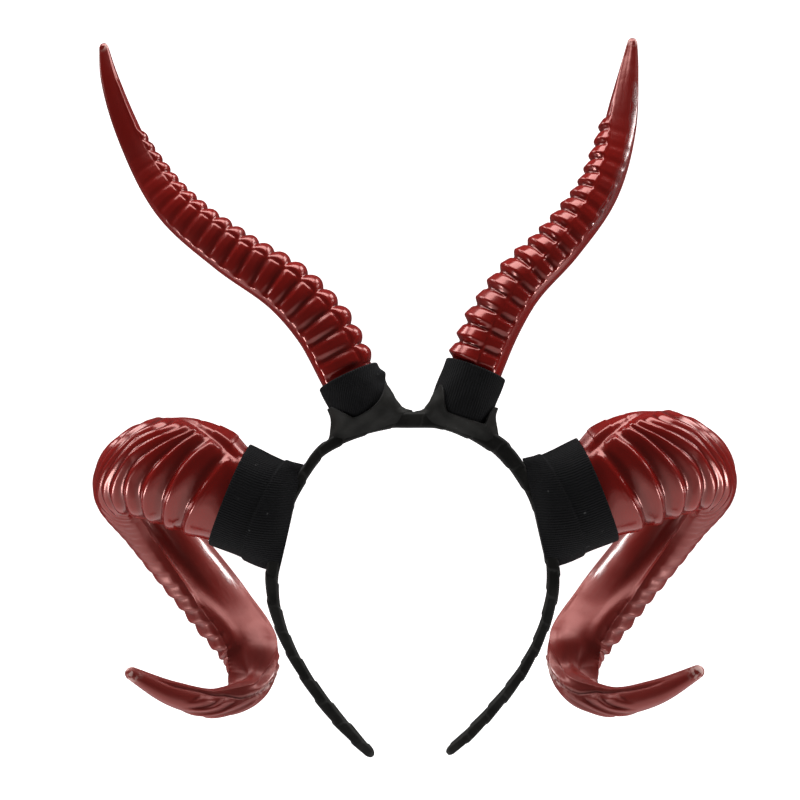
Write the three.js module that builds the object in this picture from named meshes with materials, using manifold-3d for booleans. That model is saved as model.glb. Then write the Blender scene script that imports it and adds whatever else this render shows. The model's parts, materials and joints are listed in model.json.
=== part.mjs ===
// Goat horns headband: a ribbon-wound hair band that carries two upright ribbed horns and two
// curled ram horns, each held at its foot by a black cloth sleeve.
//
// Millimetres. The pieces are shaped as the headband is worn: X to the right, Y to the back, Z up,
// with the middle of the crown's inside at the origin. The group then lays the whole on its back.
// In the tables, out is the distance from the middle plane to either side.
import * as THREE from "three";
import { mergeVertices } from "three/addons/utils/BufferGeometryUtils.js";
import Module from "manifold-3d";

const wasm = await Module();
wasm.setup();

// Fits
const FIT_GAP = 0.3;
const WELD_TOLERANCE = 1e-4;
const DIRECTION_REACH = 0.5;

// Band section
const BAND_DEPTH = 12;
const BAND_CORNER = 1.4;
const BAND_SIDES = 8;
const BAND_RINGS_EACH_SIDE = 30;

// Horn sections, and the spacing of rings where there are no ribs
const UPRIGHT_SIDES = 12;
const UPRIGHT_DEPTH_SHARE = 0.94;
const SMOOTH_RING_STEP = 9;

// Ribs: height of a bead at the foot, and the shares of its length between which it stands full
const UPRIGHT_RIB_HEIGHT = 1.2;
const RAM_RIB_HEIGHT = 1.6;
const RIB_RISE = 0.28;
const RIB_FALL = 0.74;

// Half angle of the smooth strip down the outer side of an upright horn
const SMOOTH_STRIP_DEGREES = 50;

// Cloth: sleeves and foot ribbons, and the V where a foot ribbon's ends cross
const SLEEVE_SIDES = 16;
const SLEEVE_RINGS_PER_ROW = 2;
const FOOT_SIDES = 24;
const NOTCH_HALF_WIDTH = 14.5;
const NOTCH_DROP = 10.5;
const NOTCH_OVERSHOOT = 1.6;
const NOTCH_REACH = 60;

// Rest: how far the headband leans as it lies on its back
const REST_TILT_DEGREES = 7.7;

// Inside line of each half of the band, from the edge of the flat crown seat to the arm's end
const BAND_LEFT_LINE = [
  { out: 10.5, up: 0, thick: 7.8 },
  { out: 22, up: -3, thick: 7 },
  { out: 33.3, up: -7.6, thick: 6 },
  { out: 43.2, up: -13.8, thick: 5.2 },
  { out: 50.8, up: -24.7, thick: 5 },
  { out: 56.6, up: -36.1, thick: 5.2 },
  { out: 61.4, up: -53.2, thick: 5.8 },
  { out: 64.4, up: -70.3, thick: 6 },
  { out: 63.9, up: -82, thick: 5.6 },
  { out: 59, up: -98.8, thick: 5 },
  { out: 49.8, up: -115.9, thick: 5 },
  { out: 37, up: -133, thick: 5.6 },
  { out: 27, up: -144.4, thick: 5.2 },
  { out: 18, up: -154.4, thick: 4.2 },
];
const BAND_RIGHT_LINE = [
  { out: 10.5, up: 0, thick: 7.8 },
  { out: 20.6, up: -3, thick: 7.6 },
  { out: 30.4, up: -7.6, thick: 8.6 },
  { out: 39.6, up: -13.8, thick: 8.4 },
  { out: 48.9, up: -24.7, thick: 6.6 },
  { out: 55.6, up: -36.1, thick: 5.4 },
  { out: 60.3, up: -53.2, thick: 5.8 },
  { out: 63.2, up: -70.3, thick: 6 },
  { out: 62.3, up: -82, thick: 5.4 },
  { out: 57.5, up: -98.8, thick: 4.6 },
  { out: 48.3, up: -115.9, thick: 4.7 },
  { out: 34.6, up: -133, thick: 4.8 },
  { out: 23.8, up: -144.4, thick: 4.6 },
  { out: 14.4, up: -153, thick: 3.8 },
];

// Middle line and width of each upright horn, from its foot on the band to its tip
const UPRIGHT_LEFT_LINE = [
  { out: 23.4, back: 0, up: 8, width: 25.2 },
  { out: 33, back: 0, up: 28, width: 26 },
  { out: 44, back: 1, up: 48, width: 26 },
  { out: 60.2, back: 3, up: 65.6, width: 24.4 },
  { out: 88.6, back: 8, up: 84.6, width: 21.6 },
  { out: 115.6, back: 15, up: 107.1, width: 18.8 },
  { out: 135, back: 24, up: 136.6, width: 13.4 },
  { out: 148.4, back: 33, up: 170.4, width: 8.8 },
  { out: 152.1, back: 37.3, up: 188.1, width: 4 },
];
const UPRIGHT_RIGHT_LINE = [
  { out: 21.6, back: 0, up: 8, width: 24.6 },
  { out: 29.6, back: 0, up: 29, width: 25.2 },
  { out: 38.4, back: 1, up: 49.5, width: 25 },
  { out: 49.6, back: 3, up: 67.2, width: 23.4 },
  { out: 70.6, back: 8, up: 89.1, width: 21.2 },
  { out: 88.9, back: 15, up: 113.9, width: 19.4 },
  { out: 99.2, back: 24, up: 143.7, width: 16.8 },
  { out: 105.2, back: 33, up: 174.8, width: 9.2 },
  { out: 107.4, back: 37, up: 190.6, width: 4.2 },
];

// Ram horn: the middle line, the keel to keel height, the thickness and the way the upper keel points
const RAM_LINE = [
  { out: 67, back: 0, up: -41.6, height: 44.6, thick: 23, keelOut: -0.38, keelBack: -0.12, keelUp: 0.92 },
  { out: 87.7, back: 1, up: -33.1, height: 48, thick: 29, keelOut: -0.38, keelBack: -0.3, keelUp: 0.87 },
  { out: 106.7, back: 4, up: -24.4, height: 51, thick: 29, keelOut: -0.25, keelBack: -0.3, keelUp: 0.92 },
  { out: 125.4, back: 12, up: -20.8, height: 48, thick: 28.5, keelOut: -0.2, keelBack: -0.2, keelUp: 0.95 },
  { out: 142.4, back: 31, up: -27.4, height: 34, thick: 26.5, keelOut: -0.14, keelBack: 0, keelUp: 1 },
  { out: 132.4, back: 51.5, up: -44.4, height: 30.5, thick: 24.5, keelOut: -0.45, keelBack: 0.25, keelUp: 0.85 },
  { out: 115.2, back: 58, up: -67, height: 31, thick: 25, keelOut: -0.7, keelBack: 0.45, keelUp: 0.55 },
  { out: 94.9, back: 53, up: -91.6, height: 30, thick: 24.5, keelOut: -0.75, keelBack: 0.45, keelUp: 0.5 },
  { out: 79.6, back: 42, up: -112, height: 27, thick: 20.5, keelOut: -0.95, keelBack: 0.15, keelUp: 0.25 },
  { out: 81.4, back: 25, up: -127, height: 19.5, thick: 15.5, keelOut: -0.75, keelBack: -0.5, keelUp: -0.35 },
  { out: 96, back: 13, up: -131.8, height: 15, thick: 13, keelOut: -0.1, keelBack: -0.85, keelUp: -0.5 },
  { out: 114.4, back: 4, up: -127, height: 12.4, thick: 12, keelOut: 0, keelBack: -0.85, keelUp: -0.5 },
  { out: 136.6, back: -4, up: -114.8, height: 5.6, thick: 5.6, keelOut: 0, keelBack: -0.85, keelUp: -0.5 },
];

// The right ram horn is a little larger than the left, about the middle of the curl, and sits higher
const RAM_FITS = {
  left: { size: 1, raise: 0 },
  right: { size: 1.02, raise: 1.9 },
};
const RAM_CURL_MIDDLE = { out: 107, up: -62.7 };

// Ram horn section, in shares of half its thickness and half its height. The bulging side away from
// the curl carries the ribs, and the side towards the curl is nearly flat between the two keels.
const RAM_SECTION = [
  { outward: 1, keel: 0, rib: 1 },
  { outward: 0.93, keel: 0.38, rib: 1 },
  { outward: 0.7, keel: 0.72, rib: 1 },
  { outward: 0.26, keel: 0.94, rib: 0.9 },
  { outward: -0.4, keel: 1.03, rib: 0.3 },
  { outward: -0.78, keel: 0.66, rib: 0 },
  { outward: -0.9, keel: 0.22, rib: 0 },
  { outward: -0.9, keel: -0.22, rib: 0 },
  { outward: -0.78, keel: -0.66, rib: 0 },
  { outward: -0.4, keel: -1.03, rib: 0.3 },
  { outward: 0.26, keel: -0.94, rib: 0.9 },
  { outward: 0.7, keel: -0.72, rib: 1 },
  { outward: 0.93, keel: -0.38, rib: 1 },
];

// Ribs along each horn: their count, where the first starts and the last ends, measured from the
// horn's foot, and how much shorter the last is than the first
const UPRIGHT_LEFT_RIBS = { count: 20, first: 20, last: 181, shrink: 0.35 };
const UPRIGHT_RIGHT_RIBS = { count: 17, first: 22, last: 166, shrink: 0.1 };
const RAM_RIBS = { count: 25, first: 31, last: 252, shrink: 0.1 };

// Ram sleeve: from the middle of the band's thickness out to the rim on the horn
const RAM_SLEEVE_LINE = [
  { out: 58.6, back: 0, up: -43.6, height: 50, thick: 17.5, keelOut: -0.34, keelBack: 0, keelUp: 0.94 },
  { out: 65.6, back: 0, up: -42, height: 50, thick: 27.5, keelOut: -0.35, keelBack: -0.12, keelUp: 0.93 },
  { out: 76.4, back: 0.4, up: -38, height: 50.8, thick: 32, keelOut: -0.38, keelBack: -0.27, keelUp: 0.88 },
  { out: 87.8, back: 1, up: -33.2, height: 52, thick: 32.8, keelOut: -0.38, keelBack: -0.3, keelUp: 0.87 },
];

// Upright sleeves: from the band's outer face up to the rim on the horn
const UPRIGHT_SLEEVE_LEFT_LINE = [
  { out: 20.6, back: 0, up: 2, width: 27, depth: 17 },
  { out: 23.6, back: 0, up: 8.4, width: 29.2, depth: 27.4 },
  { out: 31, back: 0, up: 24, width: 30.4, depth: 28 },
];
const UPRIGHT_SLEEVE_RIGHT_LINE = [
  { out: 19.4, back: 0, up: 2, width: 26.6, depth: 17 },
  { out: 22.2, back: 0, up: 9, width: 28.8, depth: 26.8 },
  { out: 29.2, back: 0, up: 27.3, width: 30, depth: 27.4 },
];

// Foot ribbons: a skirt from round the band up over the sleeve. Slope tips a section's outer end down.
const FOOT_RIBBON_LEFT_LINE = [
  { out: 21.3, up: -1.5, width: 42.4, depth: 15.4, slope: 17 },
  { out: 22, up: 4, width: 38.6, depth: 24.4, slope: 20 },
  { out: 23.8, up: 9.5, width: 34.2, depth: 31, slope: 24 },
  { out: 26.3, up: 15.4, width: 32.8, depth: 31.2, slope: 25 },
];
const FOOT_RIBBON_RIGHT_LINE = [
  { out: 21.8, up: -2, width: 43, depth: 15.4, slope: 19 },
  { out: 21.6, up: 4, width: 38.8, depth: 24.4, slope: 18 },
  { out: 22.8, up: 9.5, width: 34, depth: 30.4, slope: 19 },
  { out: 24.8, up: 15.6, width: 32.8, depth: 30.6, slope: 20 },
];

// Finishes
const RED_PLASTIC = { color: 0x7a1813, roughness: 0.28, metalness: 0 };
const BLACK_CLOTH = { color: 0x151516, roughness: 0.82, metalness: 0 };
const BLACK_SATIN = { color: 0x222224, roughness: 0.55, metalness: 0 };

const FRONT = new THREE.Vector3(0, -1, 0);
const LEFT = -1;
const RIGHT = 1;

// Reads a table as smooth functions of the distance along its line
function follow(rows) {
  const columns = Object.keys(rows[0]);
  const places = [0];
  for (let i = 1; i < rows.length; i += 1) {
    const [row, before] = [rows[i], rows[i - 1]];
    const back = (row.back ?? 0) - (before.back ?? 0);
    places.push(places[i - 1] + Math.hypot(row.out - before.out, back, row.up - before.up));
  }
  const values = rows.flatMap((row) => columns.map((name) => row[name]));
  const spline = new THREE.CubicInterpolant(places, values, columns.length, []);
  const length = places.at(-1);
  const at = (distance) => {
    const found = spline.evaluate(THREE.MathUtils.clamp(distance, 0, length));
    return Object.fromEntries(columns.map((name, i) => [name, found[i]]));
  };
  return { at, length };
}

// A row's place, on one side of the middle plane
function placeOf(row, side) {
  return new THREE.Vector3(side * row.out, row.back ?? 0, row.up);
}

// The line's direction at a distance, from a point a little before it to one a little after
function directionAt(line, distance, side) {
  const ahead = placeOf(line.at(distance + DIRECTION_REACH), side);
  return ahead.sub(placeOf(line.at(distance - DIRECTION_REACH), side)).normalize();
}

// A vector with its part along a direction taken out
function squareTo(direction, vector) {
  return vector.clone().addScaledVector(direction, -vector.dot(direction)).normalize();
}

// Lofts rings of points through stations: a capped cylinder whose rings are carried to them.
// offsetAt gives a ring point's distances along the station's axes a and b, where a x b points
// along the line.
function loft(stations, sides, offsetAt) {
  const steps = stations.length - 1;
  const geometry = new THREE.CylinderGeometry(1, 1, 1, sides, steps);
  const position = geometry.attributes.position;
  const point = new THREE.Vector3();
  for (let i = 0; i < position.count; i += 1) {
    point.fromBufferAttribute(position, i);
    const station = stations[Math.round((0.5 - point.y) * steps)];
    const share = Math.hypot(point.x, point.z);
    const turn = Math.atan2(point.x, point.z) / (2 * Math.PI);
    const offset = offsetAt(station, (Math.round(turn * sides) + sides) % sides);
    point.copy(station.centre);
    point.addScaledVector(station.a, share * offset.a);
    point.addScaledVector(station.b, share * offset.b);
    position.setXYZ(i, point.x, point.y, point.z);
  }
  geometry.deleteAttribute("normal");
  geometry.deleteAttribute("uv");
  return mergeVertices(geometry, WELD_TOLERANCE);
}

// An oval ring point: width along a and depth along b
function ovalOffset(sides) {
  return (station, index) => {
    const turn = (2 * Math.PI * index) / sides;
    return { a: (station.width / 2) * Math.sin(turn), b: (station.depth / 2) * Math.cos(turn) };
  };
}

// A closed geometry as a solid that can be cut
function solidOf(geometry) {
  const { position } = geometry.attributes;
  const vertProperties = new Float32Array(position.array);
  const triVerts = new Uint32Array(geometry.index.array);
  return new wasm.Manifold(new wasm.Mesh({ numProp: position.itemSize, vertProperties, triVerts }));
}

// A geometry with other geometries cut out of it
function cut(geometry, ...cutters) {
  const solid = cutters.reduce((rest, cutter) => rest.subtract(solidOf(cutter)), solidOf(geometry));
  const { vertProperties, triVerts, numProp } = solid.getMesh();
  const result = new THREE.BufferGeometry();
  result.setAttribute("position", new THREE.BufferAttribute(vertProperties, numProp));
  result.setIndex(new THREE.BufferAttribute(triVerts, 1));
  return result;
}

function makePiece(name, geometry, finish) {
  geometry.computeVertexNormals();
  const mesh = new THREE.Mesh(geometry, new THREE.MeshStandardMaterial(finish));
  mesh.name = name;
  return mesh;
}

// Distances of a horn's rings, with the share of the ribs' height there: plain rings in the foot,
// three rings to a rib, and plain rings to the tip. The ribs get shorter towards the tip.
function footRings(ribs) {
  const count = Math.ceil(ribs.first / SMOOTH_RING_STEP);
  return Array.from({ length: count }, (_, i) => ({ distance: (ribs.first * i) / count, rise: 0 }));
}

function hornRings(ribs, length) {
  const rings = footRings(ribs);
  const eased = (share) => (share - (ribs.shrink * share * share) / 2) / (1 - ribs.shrink / 2);
  const ribPlace = (place) => ribs.first + (ribs.last - ribs.first) * eased(place / ribs.count);
  for (let rib = 0; rib < ribs.count; rib += 1) {
    rings.push({ distance: ribPlace(rib), rise: 0 });
    rings.push({ distance: ribPlace(rib + RIB_RISE), rise: 1 });
    rings.push({ distance: ribPlace(rib + RIB_FALL), rise: 1 });
  }
  const tipLength = length - ribs.last;
  const tipSteps = Math.ceil(tipLength / SMOOTH_RING_STEP);
  for (let i = 0; i <= tipSteps; i += 1) {
    rings.push({ distance: ribs.last + (tipLength * i) / tipSteps, rise: 0 });
  }
  return rings;
}

// The rings that a sleeve covers, for the space it keeps for the horn
function socketRings(ribs) {
  return [...footRings(ribs), { distance: ribs.first, rise: 0 }];
}

// Moves a line's first ring back, so that a socket clears the horn's foot
function deepen(stations, gap) {
  const [first, second] = stations;
  first.centre.addScaledVector(second.centre.clone().sub(first.centre).normalize(), -gap);
  return stations;
}

// Band

// Section of the band: a rectangle with cut corners, a across its thickness and b across its depth
function bandOffset(grow) {
  const halfDepth = BAND_DEPTH / 2 + grow;
  const flatDepth = halfDepth - BAND_CORNER;
  return (station, index) => {
    const halfThick = station.thick / 2 + grow;
    const flatThick = halfThick - BAND_CORNER;
    return [
      { a: flatThick, b: halfDepth },
      { a: halfThick, b: flatDepth },
      { a: halfThick, b: -flatDepth },
      { a: flatThick, b: -halfDepth },
      { a: -flatThick, b: -halfDepth },
      { a: -halfThick, b: -flatDepth },
      { a: -halfThick, b: flatDepth },
      { a: -flatThick, b: halfDepth },
    ][index];
  };
}

// Points along the inside of one half, from the crown seat to the arm's end
function bandHalf(rows, side) {
  const line = follow(rows);
  return Array.from({ length: BAND_RINGS_EACH_SIDE + 1 }, (_, i) => {
    const row = line.at((line.length * i) / BAND_RINGS_EACH_SIDE);
    return { place: placeOf(row, side), thick: row.thick };
  });
}

// The band runs from the left arm's end over the crown to the right arm's end
function bandGeometry(leftRows, rightRows, grow = 0) {
  const inside = [...bandHalf(leftRows, LEFT).reverse(), ...bandHalf(rightRows, RIGHT)];
  const stations = inside.map((row, i) => {
    const before = inside[Math.max(i - 1, 0)];
    const after = inside[Math.min(i + 1, inside.length - 1)];
    const direction = after.place.clone().sub(before.place).normalize();
    const a = new THREE.Vector3().crossVectors(FRONT, direction);
    const centre = row.place.clone().addScaledVector(a, row.thick / 2);
    return { centre, a, b: FRONT, thick: row.thick };
  });
  return loft(stations, BAND_SIDES, bandOffset(grow));
}

// Upright horns and their sleeves

// Stations of a round line, with b towards the front
function uprightStation(line, distance, side) {
  const row = line.at(distance);
  const direction = directionAt(line, distance, side);
  const b = squareTo(direction, FRONT);
  const a = new THREE.Vector3().crossVectors(b, direction);
  const depth = row.depth ?? row.width * UPRIGHT_DEPTH_SHARE;
  return { centre: placeOf(row, side), a, b, width: row.width, depth };
}

function uprightStations(line, rings, side) {
  const footWidth = line.at(0).width;
  return rings.map(({ distance, rise }) => {
    const station = uprightStation(line, distance, side);
    return { ...station, rib: (UPRIGHT_RIB_HEIGHT * rise * station.width) / footWidth };
  });
}

// Ribs run round the horn except on the smooth strip down its outer side
function ribbedOvalOffset(sides, side) {
  const oval = ovalOffset(sides);
  const outerIndex = side === LEFT ? sides / 4 : (3 * sides) / 4;
  return (station, index) => {
    const { a, b } = oval(station, index);
    const stepsAway = Math.abs(index - outerIndex);
    const degreesAway = (Math.min(stepsAway, sides - stepsAway) * 360) / sides;
    const rise = degreesAway > SMOOTH_STRIP_DEGREES ? station.rib : 0;
    const stretch = 1 + rise / Math.hypot(a, b);
    return { a: a * stretch, b: b * stretch };
  };
}

function uprightHornGeometry(rows, ribs, side) {
  const line = follow(rows);
  const stations = uprightStations(line, hornRings(ribs, line.length), side);
  return loft(stations, UPRIGHT_SIDES, ribbedOvalOffset(UPRIGHT_SIDES, side));
}

function uprightSocketGeometry(rows, ribs, side) {
  const stations = uprightStations(follow(rows), socketRings(ribs), side);
  for (const station of stations) {
    station.width += 2 * FIT_GAP;
    station.depth += 2 * FIT_GAP;
  }
  return loft(deepen(stations, FIT_GAP), UPRIGHT_SIDES, ovalOffset(UPRIGHT_SIDES));
}

function uprightSleeveShell(rows, side, grow = 0) {
  const line = follow(rows);
  const steps = SLEEVE_RINGS_PER_ROW * (rows.length - 1);
  const stations = Array.from({ length: steps + 1 }, (_, i) => {
    const station = uprightStation(line, (line.length * i) / steps, side);
    return { ...station, width: station.width + 2 * grow, depth: station.depth + 2 * grow };
  });
  return loft(deepen(stations, grow), SLEEVE_SIDES, ovalOffset(SLEEVE_SIDES));
}

// Foot ribbons

function footRibbonShell(rows, side) {
  const stations = rows.map((row) => {
    const slope = THREE.MathUtils.degToRad(row.slope);
    const upward = new THREE.Vector3(side * Math.sin(slope), 0, Math.cos(slope));
    const a = new THREE.Vector3().crossVectors(FRONT, upward);
    return { centre: placeOf(row, side), a, b: FRONT, width: row.width, depth: row.depth };
  });
  return loft(stations, FOOT_SIDES, ovalOffset(FOOT_SIDES));
}

// The open V between the two crossing ends of a foot ribbon, through from front to back
function footNotch(rows, side) {
  const top = rows.at(-1);
  const rim = NOTCH_HALF_WIDTH * NOTCH_OVERSHOOT;
  const rise = NOTCH_DROP * (NOTCH_OVERSHOOT - 1);
  const outline = new THREE.Shape();
  outline.moveTo(0, -NOTCH_DROP);
  outline.lineTo(rim, rise);
  outline.lineTo(-rim, rise);
  outline.closePath();
  const notch = new THREE.ExtrudeGeometry(outline, { depth: NOTCH_REACH, bevelEnabled: false });
  notch.translate(0, 0, -NOTCH_REACH / 2);
  notch.rotateX(Math.PI / 2);
  notch.rotateY(side * THREE.MathUtils.degToRad(top.slope));
  notch.translate(side * top.out, 0, top.up);
  notch.deleteAttribute("normal");
  notch.deleteAttribute("uv");
  return mergeVertices(notch, WELD_TOLERANCE);
}

// Ram horns and their sleeves, shaped for the right side

function ramStation(line, distance) {
  const row = line.at(distance);
  const direction = directionAt(line, distance, RIGHT);
  const a = squareTo(direction, new THREE.Vector3(row.keelOut, row.keelBack, row.keelUp));
  const b = new THREE.Vector3().crossVectors(direction, a);
  return { centre: placeOf(row, RIGHT), a, b, height: row.height, thick: row.thick, rib: 0 };
}

function ramStations(line, rings) {
  const footThick = line.at(0).thick;
  return rings.map(({ distance, rise }) => {
    const station = ramStation(line, distance);
    return { ...station, rib: (RAM_RIB_HEIGHT * rise * station.thick) / footThick };
  });
}

function ramOffset(station, index) {
  const { outward, keel, rib } = RAM_SECTION[index];
  const a = (keel * station.height) / 2;
  const b = (outward * station.thick) / 2;
  const stretch = 1 + (station.rib * rib) / Math.hypot(a, b);
  return { a: a * stretch, b: b * stretch };
}

// A ram table's rows with one side's size and height
function fitRam(rows, { size, raise }) {
  const about = (value, middle) => middle + (value - middle) * size;
  return rows.map((row) => ({
    ...row,
    out: about(row.out, RAM_CURL_MIDDLE.out),
    up: about(row.up, RAM_CURL_MIDDLE.up) + raise,
    height: row.height * size,
    thick: row.thick * size,
  }));
}

function ramHornGeometry(fit) {
  const line = follow(fitRam(RAM_LINE, fit));
  return loft(ramStations(line, hornRings(RAM_RIBS, line.length)), RAM_SECTION.length, ramOffset);
}

function ramSocketGeometry(fit) {
  const stations = ramStations(follow(fitRam(RAM_LINE, fit)), socketRings(RAM_RIBS));
  for (const station of stations) {
    station.height += 2 * FIT_GAP;
    station.thick += 2 * FIT_GAP;
  }
  return loft(deepen(stations, FIT_GAP), RAM_SECTION.length, ramOffset);
}

function ramSleeveShell(fit) {
  const line = follow(fitRam(RAM_SLEEVE_LINE, fit));
  const steps = SLEEVE_RINGS_PER_ROW * (RAM_SLEEVE_LINE.length - 1);
  const stations = Array.from({ length: steps + 1 }, (_, i) => ramStation(line, (line.length * i) / steps));
  return loft(stations, RAM_SECTION.length, ramOffset);
}

// Assembly

const uprights = [
  {
    name: "left",
    side: LEFT,
    line: UPRIGHT_LEFT_LINE,
    ribs: UPRIGHT_LEFT_RIBS,
    sleeve: UPRIGHT_SLEEVE_LEFT_LINE,
    foot: FOOT_RIBBON_LEFT_LINE,
  },
  {
    name: "right",
    side: RIGHT,
    line: UPRIGHT_RIGHT_LINE,
    ribs: UPRIGHT_RIGHT_RIBS,
    sleeve: UPRIGHT_SLEEVE_RIGHT_LINE,
    foot: FOOT_RIBBON_RIGHT_LINE,
  },
];

const worn = new THREE.Group();
const bandSpace = bandGeometry(BAND_LEFT_LINE, BAND_RIGHT_LINE, FIT_GAP);
const mirroredBandSpace = bandGeometry(BAND_RIGHT_LINE, BAND_LEFT_LINE, FIT_GAP);

worn.add(makePiece("wound_band", bandGeometry(BAND_LEFT_LINE, BAND_RIGHT_LINE), BLACK_SATIN));

for (const { name, side, line, ribs, sleeve, foot } of uprights) {
  const horn = uprightHornGeometry(line, ribs, side);
  const tube = cut(uprightSleeveShell(sleeve, side), uprightSocketGeometry(line, ribs, side), bandSpace);
  const skirt = cut(
    footRibbonShell(foot, side),
    uprightSleeveShell(sleeve, side, FIT_GAP),
    bandSpace,
    footNotch(foot, side),
  );
  worn.add(makePiece(`upright_horn_${name}`, horn, RED_PLASTIC));
  worn.add(makePiece(`upright_sleeve_${name}`, tube, BLACK_CLOTH));
  worn.add(makePiece(`foot_ribbon_${name}`, skirt, BLACK_SATIN));
}

for (const { name, side } of uprights) {
  const fit = RAM_FITS[name];
  const bandBeside = side === RIGHT ? bandSpace : mirroredBandSpace;
  const horn = makePiece(`ram_horn_${name}`, ramHornGeometry(fit), RED_PLASTIC);
  const tube = cut(ramSleeveShell(fit), ramSocketGeometry(fit), bandBeside);
  const mirror = new THREE.Group();
  mirror.scale.x = side;
  mirror.add(horn, makePiece(`ram_sleeve_${name}`, tube, BLACK_CLOTH));
  worn.add(mirror);
}

// The headband lies on its back, front upwards, on the ram horns and the tips of the upright horns
worn.rotation.x = -Math.PI / 2 - THREE.MathUtils.degToRad(REST_TILT_DEGREES);
worn.updateMatrixWorld(true);
const box = new THREE.Box3().setFromObject(worn, true);
const middle = box.getCenter(new THREE.Vector3());
worn.position.set(-middle.x, -middle.y, -box.min.z);

const headband = new THREE.Group();
headband.add(worn);

export default headband;
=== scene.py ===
"""Goat horns headband: a ribbon-wound hair band with two upright horns and two curled ram horns.

Each piece is shaped as the headband is worn, X to the right, Y to the back and Z up, with the middle of
the crown's inside at the origin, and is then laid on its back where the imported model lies. Lengths in
the tables and in the shaping functions are millimetres, and out is the distance from the middle plane
to either side.
"""

import json
import math

import bmesh
import bpy
import numpy as np
from bpy.props import FloatProperty, FloatVectorProperty, PointerProperty
from mathutils import Matrix, Vector


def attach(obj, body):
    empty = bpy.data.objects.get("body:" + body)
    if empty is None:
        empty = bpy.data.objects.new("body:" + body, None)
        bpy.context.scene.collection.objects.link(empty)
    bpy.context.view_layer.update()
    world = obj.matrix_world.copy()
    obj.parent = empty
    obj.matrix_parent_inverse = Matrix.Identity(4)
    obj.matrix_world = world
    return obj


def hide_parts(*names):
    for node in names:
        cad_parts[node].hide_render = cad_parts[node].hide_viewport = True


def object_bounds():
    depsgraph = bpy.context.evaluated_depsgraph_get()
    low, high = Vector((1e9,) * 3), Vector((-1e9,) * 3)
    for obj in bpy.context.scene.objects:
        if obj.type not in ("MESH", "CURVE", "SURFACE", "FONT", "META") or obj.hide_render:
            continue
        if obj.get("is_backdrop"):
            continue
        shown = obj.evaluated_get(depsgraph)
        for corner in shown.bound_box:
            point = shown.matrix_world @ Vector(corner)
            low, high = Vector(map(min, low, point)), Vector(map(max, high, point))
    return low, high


bl_info = {
    "name": "Goat Horns Headband",
    "version": (1, 0, 0),
    "blender": (4, 5, 0),
    "location": "3D View > Sidebar > Headband",
    "description": "Models and dresses a costume headband with upright goat horns and curled ram horns",
    "category": "Add Mesh",
}

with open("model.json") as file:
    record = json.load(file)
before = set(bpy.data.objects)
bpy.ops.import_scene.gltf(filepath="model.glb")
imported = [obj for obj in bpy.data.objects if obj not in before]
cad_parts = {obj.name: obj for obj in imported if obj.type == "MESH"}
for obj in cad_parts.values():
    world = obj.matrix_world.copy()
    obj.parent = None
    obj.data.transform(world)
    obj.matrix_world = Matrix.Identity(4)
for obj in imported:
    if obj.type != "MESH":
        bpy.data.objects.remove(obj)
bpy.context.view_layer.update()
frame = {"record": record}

BODY = "root"
MM = 0.001
LEFT = -1
RIGHT = 1
SIDE_NAMES = {LEFT: "left", RIGHT: "right"}
FRONT = np.array((0.0, -1.0, 0.0))

# Points closer than this are merged
MERGE = 0.002

# How far before and after a point a line's direction is taken
DIRECTION_REACH = 0.5

# The least radius by which a raised point's stretch is worked out
LEAST_RADIUS = 0.1

# Where the crown seat's mount lies, as worn
SEAT_POINT = Vector((3, -1, 0)) * MM

# Middle line and width of each upright horn, from its foot on the band to its tip
UPRIGHT_COLUMNS = ("out", "back", "up", "width")
UPRIGHT_LINES = {
    LEFT: (
        (23.4, 0, 8, 25.2),
        (33, 0, 28, 26),
        (44, 1, 48, 26),
        (60.2, 3, 65.6, 24.4),
        (88.6, 8, 84.6, 21.6),
        (115.6, 15, 107.1, 18.8),
        (135, 24, 136.6, 13.4),
        (148.4, 33, 170.4, 8.8),
        (152.1, 37.3, 188.1, 4),
    ),
    RIGHT: (
        (21.6, 0, 8, 24.6),
        (29.6, 0, 29, 25.2),
        (38.4, 1, 49.5, 25),
        (49.6, 3, 67.2, 23.4),
        (70.6, 8, 89.1, 21.2),
        (88.9, 15, 113.9, 19.4),
        (99.2, 24, 143.7, 16.8),
        (105.2, 33, 174.8, 9.2),
        (107.4, 37, 190.6, 4.2),
    ),
}

# Ribs along an upright horn: their count, where the first starts and the last ends, and how much shorter
# the last is
UPRIGHT_RIBS = {
    LEFT: {"count": 20, "first": 20, "last": 181, "shrink": 0.35},
    RIGHT: {"count": 17, "first": 22, "last": 166, "shrink": 0.1},
}

# Degrees round an upright horn, from its inner side over its front: by distance from the foot the keel
# between the beads and the slats and the slats' outer end, and the keel at the back
UPRIGHT_KEELS = {
    LEFT: ((0, 48), (200, 48)),
    RIGHT: ((0, 88), (95, 84), (150, 64), (200, 18)),
}
UPRIGHT_SLAT_ENDS = {
    LEFT: ((0, 142), (200, 142)),
    RIGHT: ((0, 130), (110, 130), (200, 162)),
}
UPRIGHT_BACK_KEELS = {LEFT: -48, RIGHT: -40}

# How much of the slats' height is left by distance, and where the tips turn darker
UPRIGHT_SLAT_FADES = {
    LEFT: ((0, 1), (90, 1), (130, 0.6), (160, 0.2), (172, 0.0)),
    RIGHT: ((0, 1), (90, 1), (125, 0.4), (155, 0.15), (170, 0.0)),
}
UPRIGHT_DARK_TIP = (125, 175)
UPRIGHT_TIP_DARKNESS = 0.88

# An upright horn's depth as a share of its width
UPRIGHT_DEPTH_SHARE = 0.94

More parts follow.
